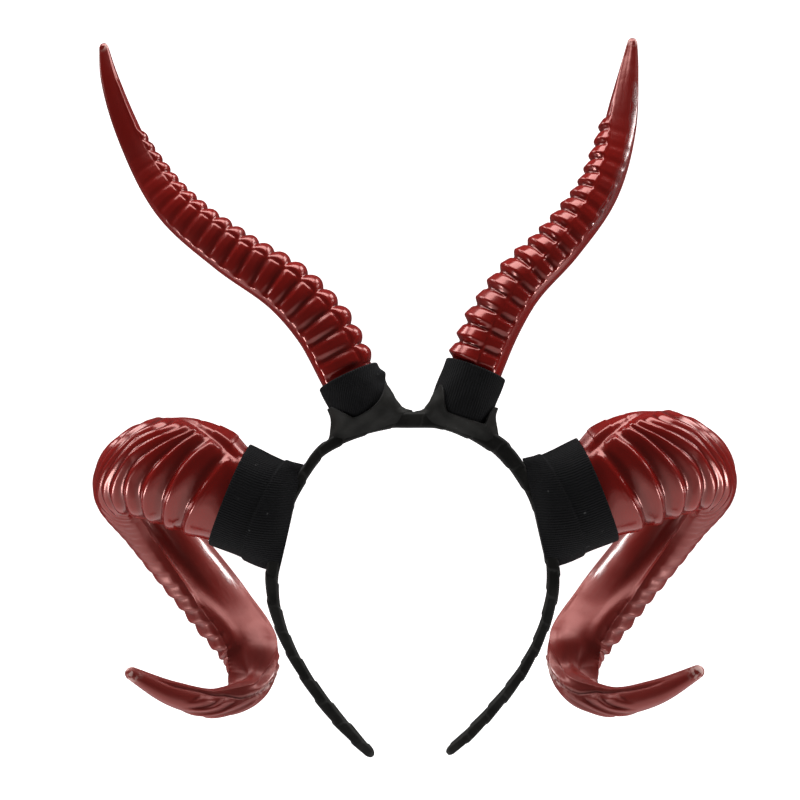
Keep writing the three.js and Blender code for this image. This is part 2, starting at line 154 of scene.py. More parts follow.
# Ram horn: middle line, keel to keel height, thickness and the way that the upper keel points
RAM_COLUMNS = ("out", "back", "up", "height", "thick", "keel_out", "keel_back", "keel_up")
RAM_LINE = (
    (67, 0, -41.6, 44.6, 23, -0.38, -0.12, 0.92),
    (87.7, 1, -33.1, 48, 29, -0.38, -0.3, 0.87),
    (106.7, 4, -24.4, 51, 29, -0.25, -0.3, 0.92),
    (125.4, 12, -20.8, 48, 28.5, -0.2, -0.2, 0.95),
    (142.4, 31, -27.4, 34, 26.5, -0.14, 0, 1),
    (132.4, 51.5, -44.4, 30.5, 24.5, -0.45, 0.25, 0.85),
    (115.2, 58, -67, 31, 25, -0.7, 0.45, 0.55),
    (94.9, 53, -91.6, 30, 24.5, -0.75, 0.45, 0.5),
    (79.6, 42, -112, 27, 20.5, -0.95, 0.15, 0.25),
    (81.4, 25, -127, 19.5, 15.5, -0.75, -0.5, -0.35),
    (96, 13, -131.8, 15, 13, -0.1, -0.85, -0.5),
    (114.4, 4, -127, 12.4, 12, 0, -0.85, -0.5),
    (136.6, -4, -114.8, 5.6, 5.6, 0, -0.85, -0.5),
)

# The right ram horn is a little larger than the left, about the middle of the curl, and sits higher
RAM_FITS = {LEFT: {"size": 1.0, "raise": 0.0}, RIGHT: {"size": 1.02, "raise": 1.9}}
RAM_CURL_MIDDLE = {"out": 107, "up": -62.7}

# Ram horn section in shares of half its thickness and half its height: the ribbed side from the lower
# keel to the upper one, then the smooth side back to the lower keel. Past the bend the lower keel stands
# further round.
RAM_FIRST_RIBBED = (
    (-0.4, -1.03), (0.26, -0.94), (0.7, -0.72), (0.93, -0.38), (1, 0), (0.93, 0.38), (0.7, 0.72),
    (0.26, 0.94), (-0.4, 1.03),
)
RAM_FIRST_SMOOTH = (
    (-0.4, 1.03), (-0.78, 0.66), (-0.9, 0.22), (-0.9, -0.22), (-0.78, -0.66), (-0.4, -1.03),
)
RAM_SECOND_RIBBED = (
    (-1.0, -0.53), (-0.86, -0.8), (-0.35, -1.02), (0.3, -0.93), (0.72, -0.68), (0.95, -0.3),
    (1, 0.08), (0.9, 0.45), (0.62, 0.8), (0.2, 0.97), (-0.4, 1.03),
)
RAM_SECOND_SMOOTH = (
    (-0.4, 1.03), (-0.78, 0.72), (-0.92, 0.38), (-0.82, 0.06), (-0.55, -0.2), (-0.62, -0.42),
    (-1.0, -0.53),
)

# Above the hook the smooth side is one flat face: its section, how far it has taken over by distance,
# and the share of the side at each end that it leaves as it was
RAM_FACE_SMOOTH = (
    (-0.4, 1.03), (-0.55, 0.62), (-0.68, 0.24), (-0.8, -0.12), (-0.92, -0.45), (-0.76, -0.73),
)
RAM_FACE_SHIFT = ((162, 0), (190, 1), (194, 1), (214, 0))
RAM_FACE_MARGIN = 0.08

# Ram rolls by their level, the distance from the foot at which they cross below the middle of the ribbed
# side: the first groove, the pitch, how far they lean towards the foot at the upper keel, and how far
# towards the tip at the lower one
RAM_FIRST_GROOVE = 37.8
RAM_PITCH = (
    (30, 13.7), (44, 13.4), (58, 12.2), (70, 9.6), (78, 7.6), (85, 5.4), (96, 4.6), (106, 5.4),
    (114, 7), (130, 6.8), (145, 8.6), (230, 8.8), (250, 10), (300, 10),
)
RAM_LEAN_UP = (
    (30, 6), (38, 7), (51.5, 12), (64, 20), (74.6, 28), (82.5, 31), (90, 32), (110, 24), (140, 8),
    (220, 8), (245, 25), (320, 25),
)
RAM_LEAN_DOWN = ((38, 1), (51.5, 6), (82.5, 16.8), (92, 12), (104, 10), (195, 10), (215, 0))

# Places on the ribbed side, from -1 at the lower keel to 1 at the upper one, between which a lean grows
RAM_LEAN_UP_SPAN = (-0.35, 0.75)
RAM_LEAN_DOWN_SPAN = (-0.25, -1.1)

# Where the rolls end below the upper keel, by distance from the foot
RAM_CREASE = (
    (21, 0.56), (28.5, 0.6), (36, 0.68), (42, 0.75), (46.4, 0.84), (51.4, 0.91), (62, 1.05),
    (96, 1.05), (116, 0.6), (205, 0.6), (218, 0.6), (241, 0.64), (248, 0.82), (262, 0.92),
    (277, 0.85),
)

# How far the section has changed from the first to the second, and degrees that it is turned near the
# tip, by distance from the foot
RAM_KEEL_SHIFT = (
    (80, 0), (106, 1), (130, 1), (150, 0.78), (174, 0.55), (190, 0.6), (215, 0.4), (250, 0.2),
)
RAM_TWIST = ((205, 0), (222, 15), (234, 40), (246, 58), (260, 70))

# Ram sleeve: from round the band out to the rim on the horn
RAM_SLEEVE_LINE = (
    (58.6, 0, -43.6, 50, 17.5, -0.34, 0, 0.94),
    (65.6, 0, -42, 50, 27.5, -0.35, -0.12, 0.93),
    (76.4, 0.4, -38, 50.8, 32, -0.38, -0.27, 0.88),
    (87.8, 1, -33.2, 52, 32.8, -0.38, -0.3, 0.87),
)

# Upright sleeves: from the band's outer face up to the rim on the horn
UPRIGHT_SLEEVE_COLUMNS = ("out", "back", "up", "width", "depth")
UPRIGHT_SLEEVE_LINES = {
    LEFT: ((20.6, 0, 2, 27, 17), (23.6, 0, 8.4, 29.2, 27.4), (31, 0, 24, 30.4, 28)),
    RIGHT: ((19.4, 0, 2, 29.2, 20.5), (22.2, 0, 9, 29.8, 27.2), (29.2, 0, 27.3, 30, 27.4)),
}

# Foot ribbons: from round the band up over the sleeve. Slope, in degrees, tips a section's outer end
# down.
FOOT_COLUMNS = ("out", "up", "width", "depth", "slope")
FOOT_LINES = {
    LEFT: (
        (21.3, -1.5, 42.4, 15.4, 17),
        (22, 4, 38.6, 24.4, 20),
        (23.8, 9.5, 34.2, 31, 24),
        (26.3, 15.4, 32.8, 31.2, 25),
    ),
    RIGHT: (
        (21.8, -2, 43, 15.4, 19),
        (21.6, 4, 38.8, 24.4, 18),
        (22.8, 9.5, 34, 30.4, 19),
        (24.8, 15.6, 32.8, 30.6, 20),
    ),
}

# Inside line and thickness of each half of the band, from the crown seat's edge to the arm's end
BAND_COLUMNS = ("out", "up", "thick")
BAND_LINES = {
    LEFT: (
        (10.5, 0, 7.8), (22, -3, 7), (33.3, -7.6, 6), (43.2, -13.8, 5.2), (50.8, -24.7, 5),
        (56.6, -36.1, 5.2), (61.4, -53.2, 5.8), (64.4, -70.3, 6), (63.9, -82, 5.6), (59, -98.8, 5),
        (49.8, -115.9, 5), (37, -133, 5.6), (27, -144.4, 5.2), (18, -154.4, 4.2),
    ),
    RIGHT: (
        (10.5, 0, 7.8), (20.6, -3, 7.6), (30.4, -7.6, 8.6), (39.6, -13.8, 8.4), (48.9, -24.7, 6.6),
        (55.6, -36.1, 5.4), (60.3, -53.2, 5.8), (63.2, -70.3, 6), (62.3, -82, 5.4),
        (57.5, -98.8, 4.6), (48.3, -115.9, 4.7), (34.6, -133, 4.8), (23.8, -144.4, 4.6),
        (14.4, -153, 3.8),
    ),
}
BAND_DEPTH = 12.0


class HornSettings(bpy.types.PropertyGroup):
    """Sizes and colours of the four horns."""

    bead_rise: FloatProperty(
        name="Bead rise",
        description="Height of an upright horn's beads, in millimetres",
        default=3.0,
        min=0,
    )
    slat_rise: FloatProperty(
        name="Slat rise",
        description="Height of an upright horn's slats, in millimetres",
        default=1.5,
        min=0,
    )
    roll_rise: FloatProperty(
        name="Roll rise",
        description="Height of a ram horn's rolls, in millimetres",
        default=1.9,
        min=0,
    )
    red: FloatVectorProperty(
        name="Red",
        description="Colour of the plastic",
        subtype="COLOR",
        default=(0.19, 0.0055, 0.0038),
    )
    # Painted shade: the colour put into the grooves and creases
    groove_shade: FloatVectorProperty(
        name="Groove",
        description="Colour in the grooves",
        subtype="COLOR",
        default=(0.09, 0.0026, 0.0018),
    )
    dusty: FloatVectorProperty(
        name="Dusty",
        description="Colour of the duller plastic",
        subtype="COLOR",
        default=(0.15, 0.018, 0.014),
    )
    # Pale colour of chipped edges, also used for the painted reflection along the ram horns' lower rim
    wear_and_rim_reflection: FloatVectorProperty(
        name="Worn",
        description="Colour of chipped edges",
        subtype="COLOR",
        default=(0.55, 0.36, 0.33),
    )


class ClothSettings(bpy.types.PropertyGroup):
    """Sizes and colours of the band's ribbon and the horns' sleeves."""

    wall: FloatProperty(
        name="Wall", description="Thickness of the sleeves, in millimetres", default=1.8, min=0.5
    )
    turn_pitch: FloatProperty(
        name="Turn pitch",
        description="Step between ribbon turns, in millimetres",
        default=13.0,
        min=4,
    )
    turn_step: FloatProperty(
        name="Turn step", description="Height of a turn's edge, in millimetres", default=0.55, min=0
    )
    sleeve: FloatVectorProperty(
        name="Sleeve",
        description="Colour of the sleeves' cloth",
        subtype="COLOR",
        default=(0.006, 0.006, 0.0066),
    )
    satin: FloatVectorProperty(
        name="Satin",
        description="Colour of the satin ribbon",
        subtype="COLOR",
        default=(0.0137, 0.0132, 0.0121),
    )


class StageSettings(bpy.types.PropertyGroup):
    """Camera, floor and lights."""

    distance: FloatProperty(
        name="Distance", description="From the camera to the band", default=1.2, unit="LENGTH"
    )
    view_width: FloatProperty(
        name="View width",
        description="Width of the picture at the band",
        default=0.38,
        unit="LENGTH",
    )
    key_power: FloatProperty(
        name="Key",
        description="Power of the key softbox",
        default=16.5,
        unit="POWER",
    )
    hot_power: FloatProperty(
        name="Hot",
        description="Power of each hot softbox",
        default=7.5,
        unit="POWER",
    )
    strip_power: FloatProperty(
        name="Strips",
        description="Power of each side strip",
        default=3.2,
        unit="POWER",
    )
    card_power: FloatProperty(
        name="Card",
        description="Power of the white card",
        default=10.2,
        unit="POWER",
    )
    floor_glow: FloatProperty(
        name="Floor glow",
        description="Light that the floor gives off",
        default=0.95,
    )


# Shaping


def lay_matrix():
    """Carries a shape as worn, in millimetres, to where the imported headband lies, in metres."""
    seat = frame["record"]["mounts"][0]
    up = -Vector(seat["axis"]).normalized()
    right = Vector((1, 0, 0))
    turn = Matrix((right, up.cross(right), up)).transposed()
    origin = Vector(seat["pos_m"]) - turn @ SEAT_POINT
    return Matrix.Translation(origin) @ turn.to_4x4() @ Matrix.Scale(MM, 4)


def unit(vectors):
    return vectors / np.linalg.norm(vectors, axis=-1, keepdims=True)


def square_to(direction, vectors):
    """Vectors with their part along a direction taken out."""
    along = (vectors * direction).sum(axis=-1, keepdims=True)
    return unit(vectors - along * direction)


def ease(low, high, value):
    """Rises smoothly from 0 at low to 1 at high."""
    share = np.clip((value - low) / (high - low), 0, 1)
    return share * share * (3 - 2 * share)


def arch(share, flatness):
    """Rises from 0 at share 0 and falls back to 0 at share 1. More flatness keeps it full longer."""
    return np.sqrt(np.clip(1 - np.abs(2 * share - 1) ** flatness, 0, None))


def between(begin, end, value):
    """Rises smoothly from 0 to 1 over the first pair, and falls back over the second."""
    return ease(*begin, value) * (1 - ease(*end, value))


def span(value, ends, flatness):
    """An arch over the stretch between two ends, and 0 outside it."""
    share = (value - ends[0]) / (ends[1] - ends[0])
    return arch(np.clip(share, 0, 1), flatness)


def table(rows, value):
    """Reads a table of pairs, with straight lines between its rows."""
    first, second = zip(*rows)
    return np.interp(value, first, second)


def bump(value, middle, reach):
    return np.exp(-(((value - middle) / reach) ** 2))


def running_length(points):
    """The distance along a row of points at each of them."""
    steps = np.linalg.norm(np.diff(points, axis=0), axis=1)
    return np.concatenate([[0.0], np.cumsum(steps)])


class Line:
    """A table's columns as smooth functions of the distance along its line."""

    def __init__(self, columns, rows):
        self.columns = columns
        self.values = np.array(rows, dtype=float)
        spots = self.spots(self.values, RIGHT)
        steps = np.linalg.norm(np.diff(spots, axis=0), axis=1)
        self.places = np.concatenate([[0.0], np.cumsum(steps)])
        self.length = self.places[-1]
        chord = np.diff(self.values, axis=0) / steps[:, None]
        self.slopes = np.vstack([chord[:1], (chord[1:] + chord[:-1]) / 2, chord[-1:]])

    def spots(self, values, side):
        """Points as worn for rows of values."""
        found = dict(zip(self.columns, values.T))
        back = found.get("back", np.zeros(len(values)))
        return np.stack([side * found["out"], back, found["up"]], axis=-1)

    def read(self, distance):
        distance = np.clip(distance, 0, self.length)
        before = np.clip(np.searchsorted(self.places, distance, "right") - 1, 0, len(self.places) - 2)
        step = (self.places[before + 1] - self.places[before])[:, None]
        share = (distance - self.places[before])[:, None] / step
        square, cube = share**2, share**3
        return (
            (2 * cube - 3 * square + 1) * self.values[before]
            + (cube - 2 * square + share) * step * self.slopes[before]
            + (3 * square - 2 * cube) * self.values[before + 1]
            + (cube - square) * step * self.slopes[before + 1]
        )

    def at(self, distance):
        return dict(zip(self.columns, self.read(distance).T))

    def spot(self, distance, side):
        return self.spots(self.read(distance), side)

    def direction(self, distance, side):
        ahead = self.spot(distance + DIRECTION_REACH, side)
        return unit(ahead - self.spot(distance - DIRECTION_REACH, side))


def rib_phase(distance, ribs):
    """Counts ribs from the foot. The whole part is the rib, the rest the share of the way over it."""
    run = (distance - ribs["first"]) / (ribs["last"] - ribs["first"])
    shrink = ribs["shrink"]
    left = 1 - 2 * shrink * run * (1 - shrink / 2)
    return ribs["count"] * (1 - np.sqrt(np.clip(left, 0, None))) / shrink


def rib_share(phase, ribs):
    """The share of the way over a rib, and whether there is a rib at all."""
    inside = (phase > 0) & (phase < ribs["count"])
    return np.where(inside, phase % 1, 0.0), inside


def rib_strength(phase, ribs, seed, spread):
    """Ribs made by hand differ a little in height."""
    draws = np.random.default_rng(seed).uniform(1 - spread, 1 + spread, ribs["count"])
    return draws[np.clip(phase.astype(int), 0, ribs["count"] - 1)]


def wrap(places, marks):
    """A grid wrapped round a line: places[ring, side] says where each of its points goes.

    Marks are values kept on the points. Columns and rings that come together are merged.
    """
    rings, sides = places.shape[0] - 1, places.shape[1] - 1
    bm = bmesh.new()
    bm.loops.layers.uv.new("wrap")
    bmesh.ops.create_grid(bm, x_segments=sides, y_segments=rings, size=0.5, calc_uvs=True)
    layers = {name: bm.verts.layers.float.new(name) for name in marks}
    for vert in bm.verts:
        ring = round((vert.co.y + 0.5) * rings)
        side = round((vert.co.x + 0.5) * sides)
        vert.co = places[ring, side]
        for name, layer in layers.items():
            vert[layer] = marks[name][ring, side]
    bmesh.ops.remove_doubles(bm, verts=bm.verts, dist=MERGE)
    bmesh.ops.recalc_face_normals(bm, faces=bm.faces)
    return bm


def add_piece(bm, name, node, material):
    """Lays a shape in place as the piece that stands for a CAD node."""
    bmesh.ops.transform(bm, matrix=lay_matrix(), verts=bm.verts)
    mesh = bpy.data.meshes.new(name)
    bm.to_mesh(mesh)
    bm.free()
    mesh.shade_smooth()
    mesh.materials.append(material)
    piece = bpy.data.objects.new(name, mesh)
    bpy.context.scene.collection.objects.link(piece)
    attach(piece, BODY)
    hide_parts(node)
    return piece


def set_out(centre, *moves):
    """Points round a line: its centres moved by each amount along that amount's direction."""
    places = centre[:, None, :]
    for amount, direction in moves:
        places = places + amount[..., None] * direction[:, None, :]
    return places


def raised(first, second, rise):
    """How many times further out points go when they rise, by their places along two axes."""
    return 1 + rise / np.maximum(np.hypot(first, second), LEAST_RADIUS)


def closed_ends(distance):
    """Ring distances with both end rings doubled, so that the outermost can be drawn to a point."""
    return np.concatenate([distance[:1], distance, distance[-1:]])


def draw_to_points(places, centres):
    places[0] = centres[0]
    places[-1] = centres[-1]
    return places


def round_tip(distance, length, radius):
    """A horn's size near its end, as a share: full, then a rounded end."""
    past = np.clip((distance - (length - radius)) / radius, 0, 1)
    return np.sqrt(1 - past**2)


# Upright horns

UPRIGHT_RINGS = 470
UPRIGHT_SIDES = 120
UPRIGHT_TIP_RADIUS = 2.4
UPRIGHT_WORN_TIP = 6
UPRIGHT_BASE_SINK = 0.7
RIB_SPREAD = 0.12
RIB_SEED = 3

# Counts of ribs, from the first and from the last, over which the ribbed part begins and ends
RIBS_BEGIN = (-0.5, 0.3)
RIBS_END = (-0.5, 1.5)

# Beads: the left ones' roundness, then the right ones' peak, slope and steep end in shares of a rib
BEAD_ROUNDNESS = 0.75
BEAD_PEAK = 0.36
BEAD_SLOPE_LENGTH = 0.5
BEAD_SLOPE_DROP = 0.5
BEAD_STEEP_END = 0.8

# Shares of a rib between which a slat is at its full height
SLAT_TOP = (0.36, 0.66)

# How full a bead and a slat are from end to end, round the horn
BEAD_FULLNESS = 3.4
SLAT_FULLNESS = 4.5

# Thin raised line along the keel, as a mould leaves: its height, its half width in degrees, and the
# stretches of the horn over which it starts and ends
PARTING = {
    LEFT: {"height": 0.5, "reach": 9, "from": (172, 182), "to": (206, 213)},
    RIGHT: {"height": 0.55, "reach": 4.5, "from": (60, 80), "to": (165, 175)},
}

# The keel cut is also given painted shade through the groove shade mark
# How far the keel is cut in between the beads and the slats, and its half width in degrees
KEEL_CUTS = {LEFT: 0.4, RIGHT: 0.0}
KEEL_CUT_REACH = 4.0

# How flat the slats' face is, by distance how flat its outer half is, and the shares of the face over
# which the one goes over to the other
FACE_FLATNESS = 0.55
OUTER_FLATNESS = {
    LEFT: ((0, 0.55), (200, 0.55)),
    RIGHT: ((0, 0.55), (90, 0.55), (150, 0.25), (200, 0.25)),
}
OUTER_HALF = (0.25, 0.75)

# The right horn's shiny outer edge: its middle and reach in degrees, and where it begins and ends
UPRIGHT_SHINE = {LEFT: 0.0, RIGHT: 1.0}
UPRIGHT_SHINE_EDGE = (138, 18)
UPRIGHT_SHINE_BEGIN = (100, 120)
UPRIGHT_SHINE_END = (178, 192)


def upright_axes(line, distance, side):
    """Centres along an upright line, and the ways to its inner side, its front and its tip."""
    direction = line.direction(distance, side)
    front = square_to(direction, np.broadcast_to(FRONT, direction.shape))
    return line.spot(distance, side), np.cross(front, direction) * side, front, direction


def bead_profile(share, side):
    """Left beads are round pillows. Right beads rise fast and fall away in a flat slope to the tip."""
    if side == LEFT:
        return np.clip(np.sin(np.pi * share), 0, None) ** BEAD_ROUNDNESS
    slope = 1 - BEAD_SLOPE_DROP * np.clip((share - BEAD_PEAK) / BEAD_SLOPE_LENGTH, 0, 1)
    return np.minimum(ease(0.0, BEAD_PEAK, share), slope * ease(1.0, BEAD_STEEP_END, share))


def upright_ribs(distance, degrees, width, side, settings):
    """How far beads and slats stand out, and how much painted shade each point gets for lying in a
    groove, from 0 to 1.
    """
    ribs = UPRIGHT_RIBS[side]
    keel = table(UPRIGHT_KEELS[side], distance)[:, None]
    slat_end = table(UPRIGHT_SLAT_ENDS[side], distance)[:, None]
    fade = table(UPRIGHT_SLAT_FADES[side], distance)[:, None]
    back_keel = UPRIGHT_BACK_KEELS[side]
    phase = rib_phase(distance, ribs)
    share, inside = rib_share(phase, ribs)
    strength = rib_strength(phase, ribs, RIB_SEED + side, RIB_SPREAD)
    taper = (width / width.max() * strength)[:, None]
    over_bead = (bead_profile(share, side) * inside)[:, None]
    over_slat = ease(0.0, SLAT_TOP[0], share) * ease(1.0, SLAT_TOP[1], share)
    over_slat = (over_slat * inside)[:, None]
    ribbed = (ease(*RIBS_BEGIN, phase) * (1 - ease(*RIBS_END, phase - ribs["count"])))[:, None]

    bead_span = span(degrees, (back_keel, keel), BEAD_FULLNESS)
    slat_span = span(degrees, (keel, slat_end), SLAT_FULLNESS)
    slat_span = slat_span + span(degrees, (-slat_end, back_keel), SLAT_FULLNESS)
    sink = UPRIGHT_BASE_SINK * ribbed
    cut = KEEL_CUTS[side] * bump(degrees, keel, KEEL_CUT_REACH) * ribbed
    rise = (settings.bead_rise * over_bead - sink) * bead_span
    rise = rise + (settings.slat_rise * over_slat - sink) * fade * slat_span
    parting = PARTING[side]
    line = between(parting["from"], parting["to"], distance)[:, None]
    line = parting["height"] * bump(degrees, keel, parting["reach"]) * line
    groove_shade = (1 - over_bead) * bead_span + (1 - over_slat) * fade * slat_span + cut
    return (rise - cut) * taper + line, np.clip(groove_shade, 0, 1) * ribbed


def flat_face(degrees, low, high, outer_flatness):
    """How much of the radius is left where the face between two angles is drawn in to its chord."""
    middle = (low + high) / 2
    half = np.radians(high - low) / 2
    away = np.clip(np.radians(degrees - middle), -half, half)
    outer = ease(*OUTER_HALF, (degrees - low) / (high - low))
    flatness = FACE_FLATNESS + (outer_flatness - FACE_FLATNESS) * outer
    return 1 - flatness * (1 - np.cos(half) / np.cos(away))


def upright_horn(side, settings):
    line = Line(UPRIGHT_COLUMNS, UPRIGHT_LINES[side])
    distance = closed_ends(np.linspace(0, line.length, UPRIGHT_RINGS))
    width = line.at(distance)["width"]
    centre, inner, front, _ = upright_axes(line, distance, side)

    degrees = np.linspace(-180, 180, UPRIGHT_SIDES + 1)[None, :]
    turn = np.radians(degrees)
    rise, groove_shade = upright_ribs(distance, degrees, width, side, settings)
    keel = table(UPRIGHT_KEELS[side], distance)[:, None]
    slat_end = table(UPRIGHT_SLAT_ENDS[side], distance)[:, None]
    outer_flatness = table(OUTER_FLATNESS[side], distance)[:, None]
    half = width[:, None] / 2 * flat_face(degrees, keel, slat_end, outer_flatness)
    size = round_tip(distance, line.length, UPRIGHT_TIP_RADIUS)[:, None]
    across = half * np.cos(turn) * size
    ahead = half * UPRIGHT_DEPTH_SHARE * np.sin(turn) * size
    stretch = raised(across, ahead, size * rise)
    places = set_out(centre, (across * stretch, inner), (ahead * stretch, front))

    tip = ease(line.length - UPRIGHT_WORN_TIP, line.length, distance)[:, None]
    dark_tip = UPRIGHT_TIP_DARKNESS * ease(*UPRIGHT_DARK_TIP, distance)[:, None]
    shine = between(UPRIGHT_SHINE_BEGIN, UPRIGHT_SHINE_END, distance)[:, None]
    # The groove shade mark also carries the darker tips
    marks = {
        "groove_shade": np.maximum(groove_shade, dark_tip),
        "wear_and_rim_reflection": np.broadcast_to(tip, groove_shade.shape),
        "shine": UPRIGHT_SHINE[side] * shine * bump(degrees, *UPRIGHT_SHINE_EDGE),
    }
    return wrap(draw_to_points(places, centre), marks)


# Ram horns

RAM_RINGS = 680
RAM_RIBBED_SAMPLES = 90
RAM_SMOOTH_SAMPLES = 44
RAM_TIP_RADIUS = 3.0

# Levels at which the rolls are counted, and how far past the tip they go on
RAM_LEVELS = 4000
RAM_LEVEL_MARGIN = 60

# Rolls have their whole height at this pitch, and each has its own strength, drawn once
RAM_PITCH_WHOLE = 8.8
RAM_SEED = 11
RAM_DRAWS = 60
RAM_FIRST_DRAW = 5

# The share of the way over a roll, from its foot-ward groove, at which it is highest
RAM_CREST = 0.69

# The count of rolls before which the foot is plain, and where the rolls begin and end along the horn
RAM_PLAIN_FOOT = -0.4
RAM_ROLLS_BEGIN = (23, 34)
RAM_ROLLS_END = (256, 268)

# Places on the ribbed side over which the rolls turn to scallops, in the first section and the second,
# and how full a scallop is
RAM_FIRST_SCALLOPS = (-0.72, -0.95)
RAM_SECOND_SCALLOPS = (-0.85, -0.5)
RAM_SCALLOP_FULLNESS = 2.0

# Where the rolls are lower, and by how much: below the middle at the turn, past the turn, along the
# lower keel, and near the hook
RAM_TURN = (90, 6)
RAM_TURN_SPAN = (-0.3, -1)
RAM_TURN_DROP = 0.75
RAM_BACK_BEGIN = (106, 122)
RAM_BACK_END = (150, 175)
RAM_BACK_DROP = 0.35
RAM_KEEL_SPAN = (-0.4, -0.8)
RAM_KEEL_DROP = 0.35
RAM_HOOK_BEGIN = (200, 226)
RAM_HOOK_DROP = 0.4

# How the rolls end at the crease: over this distance to each side, below it and more softly at the foot,
# up to the foot's end, and fading out below it in the hook
RAM_CREASE_HALF = 0.03
RAM_FOOT_SOFTNESS = 0.15
RAM_FOOT_END = (54, 66)
RAM_HOOK_CREASE = (210, 236)
RAM_HOOK_FADE = (-0.3, -0.05)

# How the rolls end at the lower keel in the first section and the second, and how they wrap round it
RAM_FIRST_LOWER_END = (-1.35, -1.1)
RAM_SECOND_LOWER_END = (-0.95, -0.35)
RAM_WRAP_SHARE = 0.8
RAM_WRAP_SPAN = (0.88, 1.0)

# The ledge above the crease: its height as a share of the rolls', its edge, its width and its end
RAM_LEDGE_SHARE = 0.9
RAM_LEDGE_EDGE = (-0.01, 0.09)
RAM_LEDGE_WIDTH = (0, 0.3)
RAM_LEDGE_END = (62, 80)

# The cut along the hook's crease is also given painted shade through the groove shade mark
# The cut along the hook's crease: its depth and reach, and where it begins and ends
RAM_CUT_DEPTH = 0.8
RAM_CUT_REACH = 0.05
RAM_CUT_BEGIN = (212, 224)
RAM_CUT_END = (272, 286)

# How far the smooth side is drawn in where the horn turns into its hook, that place's middle and reach,
# and the parts of the two sides that are drawn in
RAM_PINCH = 4.8
RAM_PINCH_SPAN = (223, 8.5)
RAM_PINCH_RIBBED = (0.72, 0.95)
RAM_PINCH_SMOOTH = (1.0, 0.75)

# Heights between which a roll's groove gets its painted shade
RAM_GROOVE_SHADE_HEIGHT = (0.02, 0.4)

# Worn places: the tip, by the distance from its end, and an edge at the hook's bend
RAM_WORN_TIP = (9, 1)
RAM_WORN_BEND = (222, 10)
RAM_WORN_EDGE = (0.62, 0.12)

# Where the plastic turns duller, and the pale line of painted reflection along the first section's lower
# keel
RAM_DULL_BEGIN = (96, 116)
RAM_RIM_REFLECTION_BEGIN = (24, 34)
RAM_RIM_REFLECTION_END = (84, 100)
RAM_RIM_REFLECTION_REACH_RIBBED = 0.025
RAM_RIM_REFLECTION_REACH_SMOOTH = 0.03

# The shiny place under the sleeve: where it begins and ends along the horn, and across it
RAM_SHINE_BEGIN = (138, 148)
RAM_SHINE_END = (164, 180)
RAM_SHINE_KEEL = (0.75, 0.95)
RAM_SHINE_EDGE = (0.24, 0.38)


def fit_ram(rows, side):
    """A ram table's rows at one side's size and height."""
    fit = RAM_FITS[side]
    size = fit["size"]
    fitted = np.array(rows, dtype=float)
    fitted[:, 0] = RAM_CURL_MIDDLE["out"] + (fitted[:, 0] - RAM_CURL_MIDDLE["out"]) * size
    fitted[:, 2] = RAM_CURL_MIDDLE["up"] + (fitted[:, 2] - RAM_CURL_MIDDLE["up"]) * size
    fitted[:, 2] += fit["raise"]
    fitted[:, 3:5] *= size
    return fitted


def section_side(rows, samples):
    """Evenly spaced points along one side of the ram horn's section."""
    side = Line(("out", "up"), rows)
    return side.read(np.linspace(0, side.length, samples + 1))


def whole_section(ribbed_rows, smooth_rows):
    ribbed = section_side(ribbed_rows, RAM_RIBBED_SAMPLES)
    smooth = section_side(smooth_rows, RAM_SMOOTH_SAMPLES)
    return np.vstack([ribbed, smooth[1:]])


def section_shares():
    """Places round the section: on the ribbed side from -1 at the lower keel to 1 at the upper one, and
    on the smooth side from 0 at the upper keel to 1 at the lower one. Each is held at its end on the
    other side."""
    ribbed = np.linspace(-1, 1, RAM_RIBBED_SAMPLES + 1)
    smooth = np.linspace(0, 1, RAM_SMOOTH_SAMPLES + 1)
    on_ribs = np.concatenate([ribbed, np.ones(RAM_SMOOTH_SAMPLES)])
    on_smooth = np.concatenate([np.zeros(RAM_RIBBED_SAMPLES), smooth])
    is_smooth = np.arange(len(on_ribs)) > RAM_RIBBED_SAMPLES
    return on_ribs[None, :], on_smooth[None, :], is_smooth[None, :]


def ram_axes(line, distance):
    """A ram line's values, with its keel's and its bulging side's directions, for the right side."""
    row = line.at(distance)
    direction = line.direction(distance, RIGHT)
    pointed = np.stack([row["keel_out"], row["keel_back"], row["keel_up"]], axis=-1)
    keel = square_to(direction, pointed)
    return row, keel, np.cross(direction, keel)


def ram_phase(distance, on_ribs):
    """Counts rolls from the first groove, with the rolls leaning as they cross the ribbed side."""
    level = np.linspace(0, distance.max() + RAM_LEVEL_MARGIN, RAM_LEVELS)
    count = np.cumsum(1 / table(RAM_PITCH, level)) * (level[1] - level[0])
    count = count - np.interp(RAM_FIRST_GROOVE, level, count)
    upper = ease(*RAM_LEAN_UP_SPAN, on_ribs[0])
    lower = ease(*RAM_LEAN_DOWN_SPAN, on_ribs[0])
    phase = np.empty((len(distance), len(upper)))
    for column, (up, down) in enumerate(zip(upper, lower)):
        crossing = level - table(RAM_LEAN_UP, level) * up + table(RAM_LEAN_DOWN, level) * down
        phase[:, column] = np.interp(distance, crossing, count)
    return phase, table(RAM_PITCH, np.interp(phase, count, level))


def roll_profile(phase, turned, on_ribs):
    """How high each point is over its roll, from 0 in a groove to 1 on a crest."""
    step = phase % 1
    past_crest = 1 + (step - RAM_CREST) / (1 - RAM_CREST)
    share = np.where(step < RAM_CREST, step / RAM_CREST, past_crest) / 2
    wave = 0.5 - 0.5 * np.cos(2 * np.pi * share)
    scallop = arch(share, RAM_SCALLOP_FULLNESS)
    first = ease(*RAM_FIRST_SCALLOPS, on_ribs) * (1 - turned)
    second = ease(*RAM_SECOND_SCALLOPS, on_ribs) * turned
    over_roll = wave + (scallop - wave) * np.maximum(first, second)
    return np.where(phase < RAM_PLAIN_FOOT, 1.0, over_roll)


